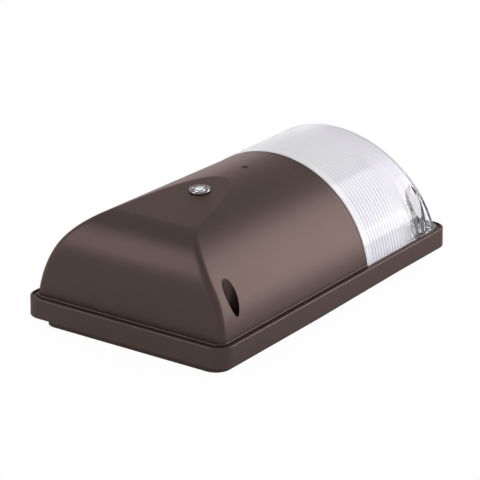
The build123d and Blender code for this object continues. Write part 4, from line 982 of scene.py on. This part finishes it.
def direction(azimuth, elevation):
    """Unit vector towards a light or viewer; azimuth 0 stands at -Y and 90 at +X."""
    a, e = radians(azimuth), radians(elevation)
    return Vector((sin(a) * cos(e), -cos(a) * cos(e), sin(e)))


def softbox(name, azimuth, elevation, distance, width, height, watts):
    """Area light that faces the middle of the light fitting."""
    lamp = bpy.data.lights.new(name, "AREA")
    lamp.shape = "RECTANGLE"
    lamp.size = width
    lamp.size_y = height
    lamp.energy = watts
    box = bpy.data.objects.new(name, lamp)
    bpy.context.scene.collection.objects.link(box)
    middle = (CAD_BOX[0] + CAD_BOX[1]) / 2
    towards = direction(azimuth, elevation)
    box.location = middle + towards * distance
    box.rotation_mode = "QUATERNION"
    box.rotation_quaternion = towards.to_track_quat("Z", "Y")


class WALLPACK_OT_stage(bpy.types.Operator):
    """White floor, soft studio light and the camera"""
    bl_idname = "wallpack.stage"
    bl_label = "Stage"

    def execute(self, context):
        look = settings("stage")
        self.floor(context, look)
        self.world(context, look)
        for name, place in SOFTBOXES.items():
            softbox("softbox_" + name, *place, getattr(look, name))
        self.camera(context)
        context.scene.view_settings.view_transform = "Standard"
        return {"FINISHED"}

    def camera(self, context):
        """Long lens from the photo's side."""
        camera = bpy.data.cameras.new("camera")
        camera.lens = CAMERA_LENS
        camera.sensor_width = CAMERA_SENSOR
        camera.clip_start = CLIP_START
        camera.clip_end = CLIP_END
        eye = bpy.data.objects.new("camera", camera)
        context.scene.collection.objects.link(eye)
        eye.location = CAMERA_TARGET + CAMERA_BACK * CAMERA_DISTANCE
        eye.rotation_mode = "QUATERNION"
        eye.rotation_quaternion = CAMERA_BACK.to_track_quat("Z", "Y")
        context.scene.camera = eye

    def floor(self, context, look):
        """Matt white floor that the camera sees, also through glass, as nearly plain white."""
        half = FLOOR_HALF
        z = CAD_BOX[0].z - FLOOR_DROP
        mesh = mesh_from("floor", [(-half, -half, z), (half, -half, z), (half, half, z), (-half, half, z)],
                         [(0, 1, 2, 3)])
        ground = bpy.data.objects.new("floor", mesh)
        context.scene.collection.objects.link(ground)
        material, tree, shader, place = start_material("floor_paint", look.floor, roughness=0.9)
        rays = add(tree, "LightPath").outputs
        seen = add(tree, "Math", {0: rays["Is Camera Ray"], 1: rays["Is Transmission Ray"]},
                   operation="MAXIMUM")
        seen = add(tree, "Math", {0: seen.outputs[0], 1: look.white}, operation="MULTIPLY")
        seen = add(tree, "Mix", {0: rays["Is Glossy Ray"], 2: seen.outputs[0], 3: look.mirrored})
        white = add(tree, "Emission", {"Color": (1, 1, 1, 1), "Strength": 1.0})
        mix = add(tree, "MixShader", {0: seen.outputs[0], 1: shader.outputs[0], 2: white.outputs[0]})
        tree.links.new(mix.outputs[0], tree.nodes["Material Output"].inputs["Surface"])
        mesh.materials.append(material)

    def world(self, context, look):
        """Even light from all round: plain white to camera and glass, dimmer overhead in metal."""
        world = bpy.data.worlds.new("studio")
        context.scene.world = world
        world.use_nodes = True
        tree = world.node_tree
        rays = add(tree, "LightPath").outputs
        rise = add(tree, "SeparateXYZ", {0: add(tree, "TexCoord").outputs["Generated"]}).outputs["Z"]
        mirrored = add(tree, "MapRange", {
            "Value": rise, "From Min": sin(radians(DIM_FROM)), "From Max": sin(radians(DIM_TO)),
            "To Min": 1.0, "To Max": look.sky})
        plain = add(tree, "Math", {0: rays["Is Camera Ray"], 1: rays["Is Transmission Ray"]},
                    operation="MAXIMUM")
        strength = add(tree, "Mix", {0: rays["Is Glossy Ray"], 2: look.world, 3: mirrored.outputs["Result"]})
        strength = add(tree, "Mix", {0: plain.outputs[0], 2: strength.outputs[0], 3: 1.0})
        back = tree.nodes["Background"]
        back.inputs["Color"].default_value = (1.0, 1.0, 1.0, 1.0)
        tree.links.new(strength.outputs[0], back.inputs["Strength"])


OPERATORS = [WALLPACK_OT_castings, WALLPACK_OT_lens, WALLPACK_OT_sensor, WALLPACK_OT_cover_screws,
             WALLPACK_OT_seals, WALLPACK_OT_fasteners, WALLPACK_OT_lamp, WALLPACK_OT_connector,
             WALLPACK_OT_driver, WALLPACK_OT_wiring, WALLPACK_OT_wire_caps, WALLPACK_OT_stage]


class WALLPACK_PT_panel(bpy.types.Panel):
    """Lists the pieces and their settings"""
    bl_idname = "WALLPACK_PT_panel"
    bl_label = "Wall pack light"
    bl_space_type = "VIEW_3D"
    bl_region_type = "UI"
    bl_category = "Wall pack"

    def draw(self, context):
        for operator in OPERATORS:
            self.layout.operator(operator.bl_idname)
        for group in GROUPS:
            box = self.layout.box()
            box.label(text=group.capitalize())
            for name in GROUPS[group].__annotations__:
                box.prop(settings(group), name)


def register():
    for group, kind in GROUPS.items():
        bpy.utils.register_class(kind)
        setattr(bpy.types.Scene, "wall_pack_" + group, bpy.props.PointerProperty(type=kind))
    for kind in OPERATORS + [WALLPACK_PT_panel]:
        bpy.utils.register_class(kind)


def unregister():
    for kind in reversed(OPERATORS + [WALLPACK_PT_panel]):
        bpy.utils.unregister_class(kind)
    for group, kind in GROUPS.items():
        delattr(bpy.types.Scene, "wall_pack_" + group)
        bpy.utils.unregister_class(kind)


def main():
    register()
    for operator in OPERATORS:
        family, name = operator.bl_idname.split(".")
        getattr(getattr(bpy.ops, family), name)()


if __name__ == "__main__":
    main()
